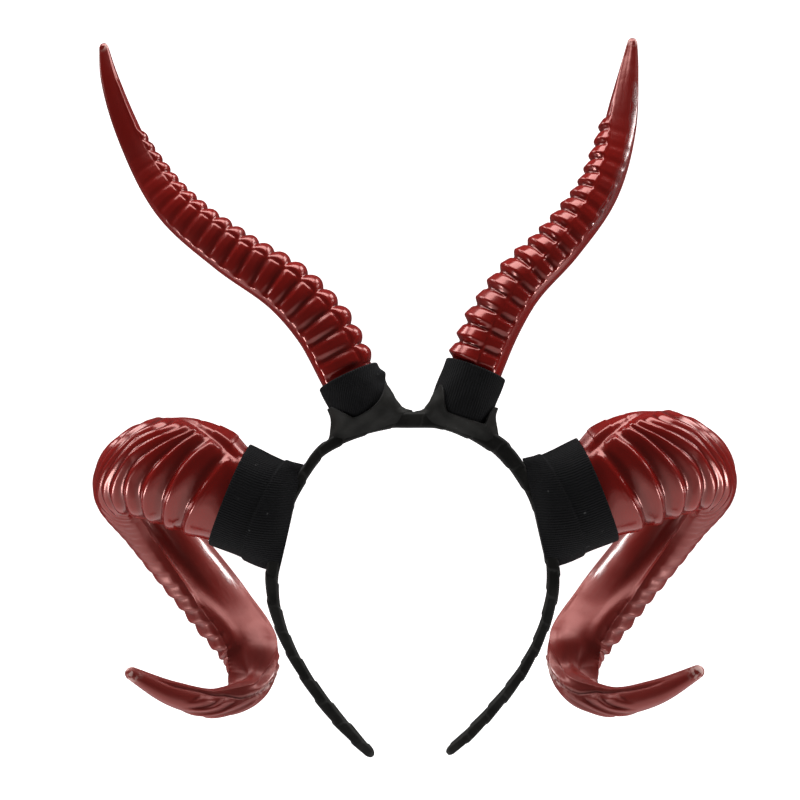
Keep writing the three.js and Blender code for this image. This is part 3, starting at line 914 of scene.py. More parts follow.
def roll_height(along, phase, pitch, turned, on_ribs, whole):
    """How high the rolls stand: by their pitch and their own strength, and lower in some places."""
    draws = np.random.default_rng(RAM_SEED).uniform(1 - RIB_SPREAD, 1 + RIB_SPREAD, RAM_DRAWS)
    strength = draws[np.floor(phase).astype(int) + RAM_FIRST_DRAW]
    height = whole * pitch / RAM_PITCH_WHOLE * strength
    height = height * between(RAM_ROLLS_BEGIN, RAM_ROLLS_END, along)
    height = height * (1 - RAM_TURN_DROP * bump(along, *RAM_TURN) * ease(*RAM_TURN_SPAN, on_ribs))
    height = height * (1 - RAM_BACK_DROP * between(RAM_BACK_BEGIN, RAM_BACK_END, along))
    height = height * (1 - RAM_KEEL_DROP * ease(*RAM_KEEL_SPAN, on_ribs) * (1 - turned))
    return height * (1 - RAM_HOOK_DROP * ease(*RAM_HOOK_BEGIN, along))


def roll_cover(along, crease, turned):
    """Where the rolls are, from 0 to 1, round the whole section."""
    on_ribs, on_smooth, is_smooth = section_shares()
    at_foot = 1 - ease(*RAM_FOOT_END, along)
    low = crease - RAM_CREASE_HALF - RAM_FOOT_SOFTNESS * at_foot
    high = crease + RAM_CREASE_HALF * (1 - at_foot)
    cover = 1 - ease(low, high, on_ribs)
    below = ease(crease + RAM_HOOK_FADE[0], crease + RAM_HOOK_FADE[1], on_ribs)
    cover = cover * (1 - ease(*RAM_HOOK_CREASE, along) * below)
    ends = zip(RAM_FIRST_LOWER_END, RAM_SECOND_LOWER_END)
    low, high = (first + (second - first) * turned for first, second in ends)
    cover = cover * ease(low, high, on_ribs)
    wrapped = (1 - turned) * RAM_WRAP_SHARE * ease(*RAM_WRAP_SPAN, on_smooth)
    return np.where(is_smooth, wrapped, cover)


def ram_rolls(distance, settings):
    """How far the rolls stand out, and how much painted shade each point gets for lying in a groove,
    from 0 to 1.
    """
    on_ribs, on_smooth, is_smooth = section_shares()
    along = distance[:, None]
    turned = table(RAM_KEEL_SHIFT, along)
    crease = table(RAM_CREASE, along)
    phase, pitch = ram_phase(distance, on_ribs)
    over_roll = roll_profile(phase, turned, on_ribs)
    height = roll_height(along, phase, pitch, turned, on_ribs, settings.roll_rise)
    cover = roll_cover(along, crease, turned)

    ledge = ease(crease + RAM_LEDGE_EDGE[0], crease + RAM_LEDGE_EDGE[1], on_ribs)
    ledge = ledge * (1 - ease(*RAM_LEDGE_END, along)) * (1 - ease(*RAM_LEDGE_WIDTH, on_smooth))
    cut = bump(on_ribs, crease, RAM_CUT_REACH) * between(RAM_CUT_BEGIN, RAM_CUT_END, along)
    cut = np.where(is_smooth, 0, cut)
    pinch = ease(*RAM_PINCH_RIBBED, on_ribs) * ease(*RAM_PINCH_SMOOTH, on_smooth)
    pinch = RAM_PINCH * pinch * bump(along, *RAM_PINCH_SPAN)
    rise = height * (over_roll * cover + RAM_LEDGE_SHARE * ledge) - RAM_CUT_DEPTH * cut - pinch
    groove_shade = (1 - over_roll) * cover * ease(*RAM_GROOVE_SHADE_HEIGHT, height) + cut
    return rise, np.clip(groove_shade, 0, 1)


def ram_sections(distance):
    """The section at each distance, from the first to the second, with the flat face above the hook."""
    turned = table(RAM_KEEL_SHIFT, distance)[:, None, None]
    first = whole_section(RAM_FIRST_RIBBED, RAM_FIRST_SMOOTH)[None, ...]
    second = whole_section(RAM_SECOND_RIBBED, RAM_SECOND_SMOOTH)[None, ...]
    points = first + (second - first) * turned
    face = section_side(RAM_FACE_SMOOTH, RAM_SMOOTH_SAMPLES)
    share = np.linspace(0, 1, RAM_SMOOTH_SAMPLES + 1)
    hold = ease(0, RAM_FACE_MARGIN, share) * ease(1, 1 - RAM_FACE_MARGIN, share)
    shift = ease(0, 1, table(RAM_FACE_SHIFT, distance))[:, None] * hold[None, :]
    smooth = points[:, RAM_RIBBED_SAMPLES:]
    points[:, RAM_RIBBED_SAMPLES:] = smooth + (face - smooth) * shift[..., None]
    return points


def ram_marks(distance, length, groove_shade):
    """Values for the plastic: painted shade in its grooves, worn edges, duller part, a painted
    reflection along the pale rim, and shiny places.
    """
    on_ribs, on_smooth, is_smooth = section_shares()
    along = distance[:, None]
    tip = ease(length - RAM_WORN_TIP[0], length - RAM_WORN_TIP[1], along)
    edge = bump(along, *RAM_WORN_BEND) * bump(on_ribs, *RAM_WORN_EDGE) * (1 - is_smooth)
    ribbed_rim = bump(on_ribs, -1, RAM_RIM_REFLECTION_REACH_RIBBED)
    smooth_rim = bump(on_smooth, 1, RAM_RIM_REFLECTION_REACH_SMOOTH)
    rim = np.where(is_smooth, smooth_rim, ribbed_rim) * between(RAM_RIM_REFLECTION_BEGIN, RAM_RIM_REFLECTION_END, along)
    shine = ease(*RAM_SHINE_KEEL, on_ribs) * (1 - ease(*RAM_SHINE_EDGE, on_smooth))
    shine = shine * between(RAM_SHINE_BEGIN, RAM_SHINE_END, along)
    return {
        "groove_shade": groove_shade,
        "wear_and_rim_reflection": np.clip(tip + edge, 0, 1),
        "dull": np.broadcast_to(ease(*RAM_DULL_BEGIN, along), groove_shade.shape),
        "rim": rim,
        "shine": np.maximum(shine, edge),
    }


def ram_horn(side, settings):
    line = Line(RAM_COLUMNS, fit_ram(RAM_LINE, side))
    distance = closed_ends(np.linspace(0, line.length, RAM_RINGS))
    centre = line.spot(distance, RIGHT)
    row, keel, outward = ram_axes(line, distance)
    twist = np.radians(table(RAM_TWIST, distance))[:, None]
    cos, sin = np.cos(twist), np.sin(twist)
    keel, outward = keel * cos - outward * sin, outward * cos + keel * sin

    points = ram_sections(distance)
    size = round_tip(distance, line.length, RAM_TIP_RADIUS)[:, None]
    up = row["height"][:, None] / 2 * points[..., 1] * size
    out = row["thick"][:, None] / 2 * points[..., 0] * size
    rise, groove_shade = ram_rolls(distance, settings)
    stretch = raised(up, out, size * rise)
    places = set_out(centre, (up * stretch, keel), (out * stretch, outward))
    places = draw_to_points(places, centre)
    places[..., 0] *= side
    return wrap(places, ram_marks(distance, line.length, groove_shade))


# Band

BAND_RING_STEP = 0.6
BAND_SIDES = 48
BAND_SQUARENESS = 5.0
BAND_SMOOTHING = 9

# The arms' ends: how far they are rounded and by how much, and how far and how much they are narrowed
BAND_END_RADIUS = 3.0
BAND_END_ROUNDING = 0.8
BAND_END_TAPER = 12.0
BAND_END_NARROWING = 0.3

# A ribbon turn: the shares of it over which its edge falls, and how much of the step lies below the band
TURN_EDGE = (0.93, 1.0)
TURN_SINK = 0.4

# How far from the middle the crown is without turns
CROWN_REACH = 13.0


def band_inside():
    """Points along the band's inside from the left arm's end to the right arm's, with its thickness."""
    halves = {}
    for side in (LEFT, RIGHT):
        line = Line(BAND_COLUMNS, BAND_LINES[side])
        distance = np.linspace(0, line.length, int(line.length / BAND_RING_STEP))
        halves[side] = (line.spot(distance, side), line.at(distance)["thick"])
    left, left_thick = halves[LEFT]
    right, right_thick = halves[RIGHT]
    crown = np.linspace(left[0], right[0], int(2 * abs(left[0][0]) / BAND_RING_STEP))[1:-1]
    crown_thick = np.full(len(crown), left_thick[0])
    spots = np.vstack([left[::-1], crown, right])
    thick = np.concatenate([left_thick[::-1], crown_thick, right_thick])
    kernel = np.ones(BAND_SMOOTHING) / BAND_SMOOTHING
    reach = BAND_SMOOTHING // 2
    for axis in (0, 2):
        spots[reach:-reach, axis] = np.convolve(spots[:, axis], kernel, "valid")
    return spots, thick


def wound_band(settings):
    inside, thick = band_inside()
    direction = unit(np.gradient(inside, axis=0))
    outer = np.cross(np.broadcast_to(FRONT, direction.shape), direction)
    centre = inside + outer * thick[:, None] / 2
    run = running_length(centre)
    keep = closed_ends(np.arange(len(run)))
    centre, outer, thick, run = centre[keep], outer[keep], thick[keep], run[keep]

    to_end = np.minimum(run, run[-1] - run)
    past = np.clip(1 - to_end / BAND_END_RADIUS, 0, 1)
    size = np.sqrt(1 - BAND_END_ROUNDING * past**2)
    narrowing = 1 - BAND_END_NARROWING * (1 - ease(0, BAND_END_TAPER, to_end))

    turn = np.linspace(-math.pi, math.pi, BAND_SIDES + 1)[None, :]
    power = 2 / BAND_SQUARENESS
    across = np.sign(np.cos(turn)) * np.abs(np.cos(turn)) ** power
    ahead = np.sign(np.sin(turn)) * np.abs(np.sin(turn)) ** power
    lap = (run[:, None] / settings.turn_pitch + turn / (2 * math.pi)) % 1
    edge = lap * (1 - ease(*TURN_EDGE, lap))
    lift = settings.turn_step * (edge - TURN_SINK) * (1 - bump(centre[:, :1], 0, CROWN_REACH))
    out = across * ((thick / 2 * size)[:, None] + lift)
    front = ahead * ((BAND_DEPTH / 2 * size * narrowing)[:, None] + lift)
    places = draw_to_points(set_out(centre, (out, outer), (front, FRONT[None, :])), centre)
    return wrap(places, {"lap": lap, "run": np.broadcast_to(run[:, None], lap.shape)})


# Sleeves and foot ribbons

SLEEVE_RINGS = 90
SLEEVE_SIDES = 120
RIM_RINGS = 8

# Upright sleeves' folds: height, times round, how far they turn from the foot to the rim, and start
SLEEVE_FOLDS = ((0.7, 3, 5, 0), (0.6, 7, -9, 1))

# The left sleeve's rolled rim: height, then middle and reach up the sleeve and round it
SLEEVE_ROLLS = {LEFT: 1.7, RIGHT: 0.0}
SLEEVE_ROLL_LEVEL = (0.78, 0.09)
SLEEVE_ROLL_TURN = (0, 0.6)

# How far an upright sleeve's rim is higher in front, and over which share of its height that grows
SLEEVE_RIM_LIFT = 1.3
SLEEVE_LIFT_SPAN = (0.55, 1)

# How far the upright sleeves' cords move round for each millimetre up
CORD_SLANTS = {LEFT: 0.8, RIGHT: 0.05}


def shell_profile(rings):
    """The way round a cloth wall's profile: up the outside, over the rim and down the inside.

    Gives each ring's share of the height, its share of the wall's depth and how far it is up the round
    of the rim, and ends where it starts.
    """
    outside = np.linspace(0, 1, rings)
    over = np.linspace(0, math.pi, RIM_RINGS + 2)[1:-1]
    height = np.concatenate([outside, np.ones(RIM_RINGS), outside[::-1], [0.0]])
    depth = np.concatenate([np.zeros(rings), (1 - np.cos(over)) / 2, np.ones(rings), [0.0]])
    crest = np.concatenate([np.zeros(rings), np.sin(over), np.zeros(rings), [0.0]])
    return height, depth, crest


def upright_sleeve(side, settings):
    line = Line(UPRIGHT_SLEEVE_COLUMNS, UPRIGHT_SLEEVE_LINES[side])
    height, depth, crest = shell_profile(SLEEVE_RINGS)
    distance = height * line.length
    row = line.at(distance)
    centre, inner, front, direction = upright_axes(line, distance, side)
    centre = centre + direction * (crest * settings.wall / 2)[:, None]

    turn = np.linspace(-math.pi, math.pi, SLEEVE_SIDES + 1)[None, :]
    level = height[:, None]
    fold = 0.0
    for rise, times, lean, start in SLEEVE_FOLDS:
        fold = fold + rise * np.sin(times * turn + lean * level + start) * level * (1 - level)
    roll = bump(level, *SLEEVE_ROLL_LEVEL) * bump(turn, *SLEEVE_ROLL_TURN)
    proud = fold + SLEEVE_ROLLS[side] * roll - (settings.wall * depth)[:, None]
    out = (row["width"][:, None] / 2 + proud) * np.cos(turn)
    ahead = (row["depth"][:, None] / 2 + proud) * np.sin(turn)
    lift = SLEEVE_RIM_LIFT * ease(*SLEEVE_LIFT_SPAN, level) * np.sin(turn)
    places = set_out(centre, (out, inner), (ahead, front), (lift, direction))
    along = distance[:, None]
    around = turn * row["width"].mean() / 2 + CORD_SLANTS[side] * along
    return wrap(places, {"along": np.broadcast_to(along, out.shape), "round": around})


FOOT_RINGS = 60
FOOT_WALL = 1.0

# How far a foot ribbon's inner side is trimmed back, by the distance up it, so that it flares into the
# crown, and how closely the trim keeps to the inner side
FOOT_TRIM = ((0, -1.0), (3, -1.6), (4.4, 0.8), (5.8, 1.9), (11.4, 1.3), (17.5, 2.0))
FOOT_TRIM_POWER = 3

# The lap mark of ribbon that shows no turn's edge
PLAIN_LAP = 0.5

# A foot ribbon's creases: height, times round, and how far they turn for each millimetre up
FOOT_CREASE = (0.3, 5, 0.5)

# The deepest drop of a foot ribbon's upper edge. The right one's is level up to its inner and outer
# ends, and the left one's is lowest a little outward and curves up to the inner end.
FOOT_NOTCH_DROP = {LEFT: 9.3, RIGHT: 10.9}
RIGHT_NOTCH_INNER = (0.3, 0.9)
RIGHT_NOTCH_OUTER = (-0.62, -0.95)
RIGHT_NOTCH_OUTER_SHARE = 0.9
LEFT_NOTCH_LOWEST = -0.35
LEFT_NOTCH_CURVE = 2.5
LEFT_NOTCH_OUTER_LENGTH = 0.5


def foot_notch(side, turn):
    """How far a foot ribbon's upper edge drops round it, as a share of its deepest drop."""
    inward = np.cos(turn)
    if side == RIGHT:
        outer_end = RIGHT_NOTCH_OUTER_SHARE * ease(*RIGHT_NOTCH_OUTER, inward)
        return (1 - ease(*RIGHT_NOTCH_INNER, inward)) * (1 - outer_end)
    past_lowest = inward - LEFT_NOTCH_LOWEST
    inner_part = 1 - np.abs(past_lowest / (1 - LEFT_NOTCH_LOWEST)) ** LEFT_NOTCH_CURVE
    outer_part = np.clip(1 + past_lowest / LEFT_NOTCH_OUTER_LENGTH, 0, 1)
    return np.where(past_lowest > 0, inner_part, outer_part)


def foot_ribbon(side):
    rows = np.array(FOOT_LINES[side], dtype=float)
    line = Line(FOOT_COLUMNS, rows)
    height, depth, crest = shell_profile(FOOT_RINGS)
    turn = np.linspace(-math.pi, math.pi, SLEEVE_SIDES + 1)[None, :]
    top = line.length - FOOT_NOTCH_DROP[side] * foot_notch(side, turn)
    level = height[:, None] * top
    shape = level.shape
    found = {name: value.reshape(shape) for name, value in line.at(level.ravel()).items()}
    centre = line.spot(level.ravel(), side).reshape(*shape, 3)
    slope = np.radians(found["slope"])
    upward = np.stack([side * np.sin(slope), np.zeros(shape), np.cos(slope)], axis=-1)
    inner = np.cross(np.broadcast_to(FRONT, upward.shape), upward) * side

    rise, times, lean = FOOT_CREASE
    crease = rise * np.sin(times * turn + level * lean) * np.sin(np.pi * height)[:, None]
    proud = crease - (FOOT_WALL * depth)[:, None]
    out = (found["width"] / 2 + proud) * np.cos(turn)
    out = out - table(FOOT_TRIM, level) * np.clip(np.cos(turn), 0, None) ** FOOT_TRIM_POWER
    ahead = (found["depth"] / 2 + proud) * np.sin(turn)
    places = centre + out[..., None] * inner + ahead[..., None] * FRONT
    places = places + (crest * FOOT_WALL / 2)[:, None, None] * upward
    around = np.broadcast_to(turn * rows[:, 2].mean() / 2, shape)
    return wrap(places, {"lap": np.full(shape, PLAIN_LAP), "run": around})


# A ram sleeve's folds: height, times round, and how far they turn from the band to the rim
RAM_SLEEVE_FOLD = (0.4, 4, 6)

# The second layer near the band: thickness, the share of the length over which its edge falls, how far
# that edge waves, and where round the sleeve the wave starts
RAM_LAYER = 0.8
RAM_LAYER_EDGE = (0.42, 0.47)
RAM_LAYER_WAVE = 0.07
RAM_LAYER_START = 1.2

# Half thickness and half height by which the way round a ram sleeve is measured
RAM_SLEEVE_HALVES = (16, 26)


def ram_sleeve(side, settings):
    line = Line(RAM_COLUMNS, fit_ram(RAM_SLEEVE_LINE, side))
    height, depth, crest = shell_profile(SLEEVE_RINGS)
    distance = height * line.length
    row, keel, outward = ram_axes(line, distance)
    direction = line.direction(distance, RIGHT)
    centre = line.spot(distance, RIGHT) + direction * (crest * settings.wall / 2)[:, None]

    points = whole_section(RAM_FIRST_RIBBED, RAM_FIRST_SMOOTH)
    turn = np.arctan2(points[:, 1], points[:, 0])[None, :]
    level = height[:, None]
    rise, times, lean = RAM_SLEEVE_FOLD
    fold = rise * np.sin(times * turn + lean * level) * (1 - level)
    wavy_level = level + RAM_LAYER_WAVE * np.sin(turn - RAM_LAYER_START)
    layer = RAM_LAYER * (1 - ease(*RAM_LAYER_EDGE, wavy_level))
    up = row["height"][:, None] / 2 * points[None, :, 1]
    out = row["thick"][:, None] / 2 * points[None, :, 0]
    stretch = raised(up, out, fold + layer - (settings.wall * depth)[:, None])
    places = set_out(centre, (up * stretch, keel), (out * stretch, outward))
    places[..., 0] *= side
    along = np.broadcast_to(distance[:, None], up.shape)
    girth = running_length(points * RAM_SLEEVE_HALVES)
    return wrap(places, {"along": along, "round": np.broadcast_to(girth[None, :], up.shape)})


# Finishes


class Nodes:
    """Adds and joins the nodes of one tree."""

    def __init__(self, tree):
        self.tree = tree

    def add(self, kind, **values):
        node = self.tree.nodes.new(kind)
        for name, value in values.items():
            setattr(node, name, value)
        return node

    def put(self, socket, value):
        """Gives an input socket its value, or joins it where the value is a socket."""
        if isinstance(value, bpy.types.NodeSocket):
            self.tree.links.new(value, socket)
        else:
            socket.default_value = value

    def set(self, node, **values):
        """Puts values into a node's input sockets by name, with _ for a space."""
        for name, value in values.items():
            self.put(node.inputs[name.replace("_", " ")], value)

    def math(self, operation, first, second=0.0):
        node = self.add("ShaderNodeMath", operation=operation)
        self.put(node.inputs[0], first)
        self.put(node.inputs[1], second)
        return node.outputs[0]

    def plus(self, first, second):
        return self.math("ADD", first, second)

    def times(self, first, second):
        return self.math("MULTIPLY", first, second)

    def swing(self, value, step):
        """Swings from -1 to 1 and back once in each step."""
        return self.math("SINE", self.times(value, 2 * math.pi / step))

    def blend(self, share, first, second):
        node = self.add("ShaderNodeMix", data_type="RGBA")
        sockets = {socket.identifier: socket for socket in node.inputs}
        self.put(sockets["Factor_Float"], share)
        self.put(sockets["A_Color"], first)
        self.put(sockets["B_Color"], second)
        return next(socket for socket in node.outputs if socket.identifier == "Result_Color")

    def ramp(self, value, ends, out_low=0.0, out_high=1.0):
        node = self.add("ShaderNodeMapRange", interpolation_type="SMOOTHSTEP")
        low, high = ends
        self.set(node, Value=value, From_Min=low, From_Max=high, To_Min=out_low, To_Max=out_high)
        return node.outputs["Result"]

    def noise(self, vector, scale, detail=3.0):
        node = self.add("ShaderNodeTexNoise")
        self.set(node, Vector=vector, Scale=scale, Detail=detail)
        return node.outputs["Fac"]

    def relief(self, height, strength, depth):
        """The normal of a bumpy surface."""
        node = self.add("ShaderNodeBump")
        self.set(node, Height=height, Strength=strength, Distance=depth)
        return node.outputs["Normal"]

    def fuzz(self, fine, specks):
        """Places the shared cloth fuzz. Gives its height and its mask of lint."""
        node = self.add("ShaderNodeGroup", node_tree=cloth_fuzz())
        self.set(node, Place=self.place(), Fine=fine, Specks=specks)
        return node.outputs["Fuzz"], node.outputs["Lint"]

    def place(self):
        return self.add("ShaderNodeTexCoord").outputs["Object"]

    def mark(self, name):
        return self.add("ShaderNodeAttribute", attribute_name=name).outputs["Fac"]


FUZZ_DETAIL = 4.0
LINT_SPAN = (0.7, 0.76)
LINT_COLOUR = (0.09, 0.09, 0.09, 1.0)


def cloth_fuzz():
    """The fuzz and lint of both cloths, as one node group."""
    group = bpy.data.node_groups.get("cloth_fuzz")
    if group:
        return group
    group = bpy.data.node_groups.new("cloth_fuzz", "ShaderNodeTree")
    group.interface.new_socket("Place", in_out="INPUT", socket_type="NodeSocketVector")
    group.interface.new_socket("Fine", in_out="INPUT", socket_type="NodeSocketFloat")
    group.interface.new_socket("Specks", in_out="INPUT", socket_type="NodeSocketFloat")
    group.interface.new_socket("Fuzz", in_out="OUTPUT", socket_type="NodeSocketFloat")
    group.interface.new_socket("Lint", in_out="OUTPUT", socket_type="NodeSocketFloat")
    nodes = Nodes(group)
    given = nodes.add("NodeGroupInput").outputs
    result = nodes.add("NodeGroupOutput").inputs
    nodes.put(result["Fuzz"], nodes.noise(given["Place"], given["Fine"], FUZZ_DETAIL))
    specks = nodes.noise(given["Place"], given["Specks"], FUZZ_DETAIL)
    nodes.put(result["Lint"], nodes.ramp(specks, LINT_SPAN))
    return group


def colour(value, factor=1.0):
    return (*(part * factor for part in value), 1.0)


def new_material(name):
    material = bpy.data.materials.new(name)
    material.use_nodes = True
    material.node_tree.nodes.clear()
    nodes = Nodes(material.node_tree)
    shader = nodes.add("ShaderNodeBsdfPrincipled")
    output = nodes.add("ShaderNodeOutputMaterial")
    nodes.put(output.inputs["Surface"], shader.outputs["BSDF"])
    return material, nodes, shader


# The colour of the plastic's gloss
GLOSS_TINT = (1.0, 0.48, 0.44, 1.0)

# Darker patches in the plastic: how large, how dark, and the roughness where they are weak and strong
PATCH_SCALE = 45.0
PATCH_SPAN = (0.3, 0.75)
PATCH_SHADE = 0.8
GLOSS_SPAN = (0.3, 0.8)
GLOSS_ROUGHNESS = (0.16, 0.27)

# Grain and wobble of the surface: how fine and how detailed, and the grain's height beside the wobble's
GRAIN_SCALE = 420.0
GRAIN_DETAIL = 4.0
GRAIN_HEIGHT = 0.22
WOBBLE_SCALE = 110.0
WOBBLE_DETAIL = 2.0

# Strokes that a ram horn's duller lower part shows: how many round and along it, and their height
BRUSH_STROKES = (170.0, 36.0, 1.0)
STROKE_HEIGHT = 0.35

# How much rougher the plastic is where it is chipped, in a stroke, and where it is dull
CHIP_ROUGHNESS = 0.3
STROKE_ROUGHNESS = 0.24
DULL_ROUGHNESS = 0.07

# Marks between which a groove gets its painted shade and how much of it, how much of the pale colour the
# rim's painted reflection gets, and the grain at which a worn place is chipped
GROOVE_SHADE_SPAN = (0.5, 1.0)
GROOVE_SHADE_SHARE = 0.85
RIM_REFLECTION_SHARE = 0.5
CHIP_SPAN = (0.46, 0.58)

# Strokes that break up the shiny places, and the mark at which these are at their full shine
STREAK_SPAN = (0.4, 0.65)
STREAK_SHARE = 0.9
SHINE_SPAN = (0.0, 0.5)


def horn_plastic(settings):
    """Glossy red plastic with painted shade in the grooves and a painted reflection along the ram horns'
    lower rim, and with dull, shiny and chipped places by mark.
    """
    material, nodes, shader = new_material("glossy_horn")
    place = nodes.place()
    patches = nodes.noise(place, PATCH_SCALE)
    grain = nodes.noise(place, GRAIN_SCALE, GRAIN_DETAIL)
    wobble = nodes.noise(place, WOBBLE_SCALE, WOBBLE_DETAIL)
    along_horn = nodes.add("ShaderNodeMapping")
    wrapped = nodes.add("ShaderNodeUVMap", uv_map="wrap").outputs["UV"]
    nodes.set(along_horn, Vector=wrapped, Scale=BRUSH_STROKES)
    brushed = nodes.noise(along_horn.outputs["Vector"], scale=1.0)
    dull = nodes.mark("dull")
    strokes = nodes.times(dull, brushed)
    # Painted shade in the grooves and creases
    groove_shade_mask = nodes.ramp(nodes.mark("groove_shade"), GROOVE_SHADE_SPAN, 0.0, GROOVE_SHADE_SHARE)
    chipped = nodes.times(nodes.mark("wear_and_rim_reflection"), nodes.ramp(grain, CHIP_SPAN))

    darker = colour(settings.red, PATCH_SHADE)
    red = nodes.blend(nodes.ramp(patches, PATCH_SPAN), colour(settings.red), darker)
    red = nodes.blend(strokes, red, colour(settings.dusty))
    red = nodes.blend(groove_shade_mask, red, colour(settings.groove_shade))
    # Painted reflection along the ram horns' lower rim, in the pale colour of chipped edges
    red = nodes.blend(nodes.times(nodes.mark("rim"), RIM_REFLECTION_SHARE), red, colour(settings.wear_and_rim_reflection))
    red = nodes.blend(chipped, red, colour(settings.wear_and_rim_reflection))
    rough = nodes.ramp(patches, GLOSS_SPAN, *GLOSS_ROUGHNESS)
    rough = nodes.plus(rough, nodes.times(chipped, CHIP_ROUGHNESS))
    rough = nodes.plus(rough, nodes.times(strokes, STROKE_ROUGHNESS))
    rough = nodes.plus(rough, nodes.times(dull, DULL_ROUGHNESS))
    streaks = nodes.ramp(brushed, STREAK_SPAN, 0.0, STREAK_SHARE)
    shine = nodes.ramp(nodes.math("SUBTRACT", nodes.mark("shine"), streaks), SHINE_SPAN)
    height = nodes.plus(nodes.times(grain, GRAIN_HEIGHT), wobble)
    height = nodes.plus(height, nodes.times(strokes, STROKE_HEIGHT))
    relief = nodes.relief(height, strength=0.25, depth=0.0004)
    nodes.set(shader, Base_Color=red, Roughness=rough, IOR=1.5, Normal=relief)
    nodes.set(shader, Specular_IOR_Level=1.0, Specular_Tint=GLOSS_TINT)
    nodes.set(shader, Coat_Weight=shine, Coat_IOR=2.8, Coat_Roughness=0.25)
    return material


# The sleeves' cords and weave: their steps in millimetres, the weave's height beside the cords', the
# painted shade between the cords and the painted light on them, and how much the lint shows
CORD_STEP = 1.25
WEAVE_STEP = 0.6
WEAVE_HEIGHT = 0.4
CORD_SPAN = (-1.0, 1.0)
CORD_PAINTED_LIGHT = (0.7, 1.35)
SLEEVE_LINT = 0.6


def sleeve_cloth(settings):
    """Black ribbed cloth: fine cords along the sleeve with painted shade between them and painted light
    on them, and specks of lint.
    """
    material, nodes, shader = new_material("ribbed_sleeve_cloth")
    cords = nodes.swing(nodes.mark("round"), CORD_STEP)
    weave = nodes.swing(nodes.mark("along"), WEAVE_STEP)
    fuzz, lint = nodes.fuzz(fine=900.0, specks=300.0)
    # Painted light: a shaded copy of the cloth's colour between the cords and a lit copy on them
    shaded_between_cords, lit_on_cord = (colour(settings.sleeve, shade) for shade in CORD_PAINTED_LIGHT)
    base = nodes.blend(nodes.ramp(cords, CORD_SPAN), shaded_between_cords, lit_on_cord)
    base = nodes.blend(nodes.times(lint, SLEEVE_LINT), base, LINT_COLOUR)
    height = nodes.plus(nodes.plus(cords, nodes.times(weave, WEAVE_HEIGHT)), fuzz)
    relief = nodes.relief(height, strength=0.45, depth=0.0003)
    nodes.set(shader, Base_Color=base, Roughness=0.85, Specular_IOR_Level=0.12, Normal=relief)
    return material


# The satin's painted sheen in clouds: how large, and how dark and light; then the woven edge of each
# turn and the lint
CLOUD_SCALE = 90.0
CLOUD_SPAN = (0.3, 0.7)
SHEEN_CLOUD_SHADES = (0.7, 1.5)
LAP_EDGE_SPAN = (0.86, 0.92)
LAP_EDGE_SHARE = 0.4
LAP_EDGE_COLOUR = (0.036, 0.035, 0.033, 1.0)
SATIN_LINT = 0.3


def satin_ribbon(settings):
    """Black satin ribbon: a soft gloss, a painted sheen in clouds, a fine fuzz and a lighter woven edge
    to each turn.
    """
    material, nodes, shader = new_material("wound_satin")
    fuzz, lint = nodes.fuzz(fine=800.0, specks=420.0)
    cloudy = nodes.noise(nodes.place(), CLOUD_SCALE)
    edge = nodes.ramp(nodes.mark("lap"), LAP_EDGE_SPAN)
    # Painted sheen: darker and lighter copies of the satin's colour in clouds
    sheen_dim, sheen_lit = (colour(settings.satin, shade) for shade in SHEEN_CLOUD_SHADES)
    base = nodes.blend(nodes.ramp(cloudy, CLOUD_SPAN), sheen_dim, sheen_lit)
    base = nodes.blend(nodes.times(edge, LAP_EDGE_SHARE), base, LAP_EDGE_COLOUR)
    base = nodes.blend(nodes.times(lint, SATIN_LINT), base, LINT_COLOUR)
    relief = nodes.relief(fuzz, strength=0.5, depth=0.0002)
    nodes.set(shader, Base_Color=base, Roughness=0.55, Specular_IOR_Level=0.1, Normal=relief)
    return material


# Stage

# Half the floor's width in metres, and how bright the surroundings are
FLOOR_HALF = 4
WORLD_STRENGTH = 0.08

# Lights in metres where the headband lies: name, place, aim, width and height, the setting that gives
# the power, and the share of it. Side lights stand at the right as given, and mirrored at the left.
MIDDLE_LIGHTS = (
    ("top_softbox", (0, 0.95, 0.02), (0, 0, 0.02), (1.3, 0.58), "key_power", 1),
    ("white_card", (0, -0.6, 0.18), (0, 0, 0.18), (2.8, 0.98), "card_power", 1),
    ("card_edge", (0, -0.6, 0.83), (0, 0, 0.83), (2.8, 0.32), "card_power", 0.14),
)
SIDE_LIGHTS = (
    ("side_strip", (0.95, -0.4, 0.34), (0, -0.05, 0.06), (0.12, 0.3), "strip_power", 1),
    ("outer_strip", (1.045, 0.35, -0.2), (0, 0.05, 0.03), (0.14, 0.5), "strip_power", 0.5),
    ("hot_softbox", (1.045, 0.9, -0.5), (0, -0.05, 0), (0.5, 0.6), "hot_power", 1),
)

# The middle of the picture as worn
VIEW_CENTRE = Vector((-6.65, 0, 13.3))
SENSOR_WIDTH = 36.0


def add_light(settings, side, name, place, target, extent, power, share):
    light = bpy.data.lights.new(name, "AREA")
    light.shape = "RECTANGLE"
    light.size, light.size_y = extent
    light.energy = share * getattr(settings, power)
    lamp = bpy.data.objects.new(name, light)
    lamp.location = (side * place[0], *place[1:])
    direction = Vector(target) - lamp.location
    lamp.rotation_euler = direction.to_track_quat("-Z", "Y").to_euler()
    lamp.visible_camera = False
    bpy.context.scene.collection.objects.link(lamp)


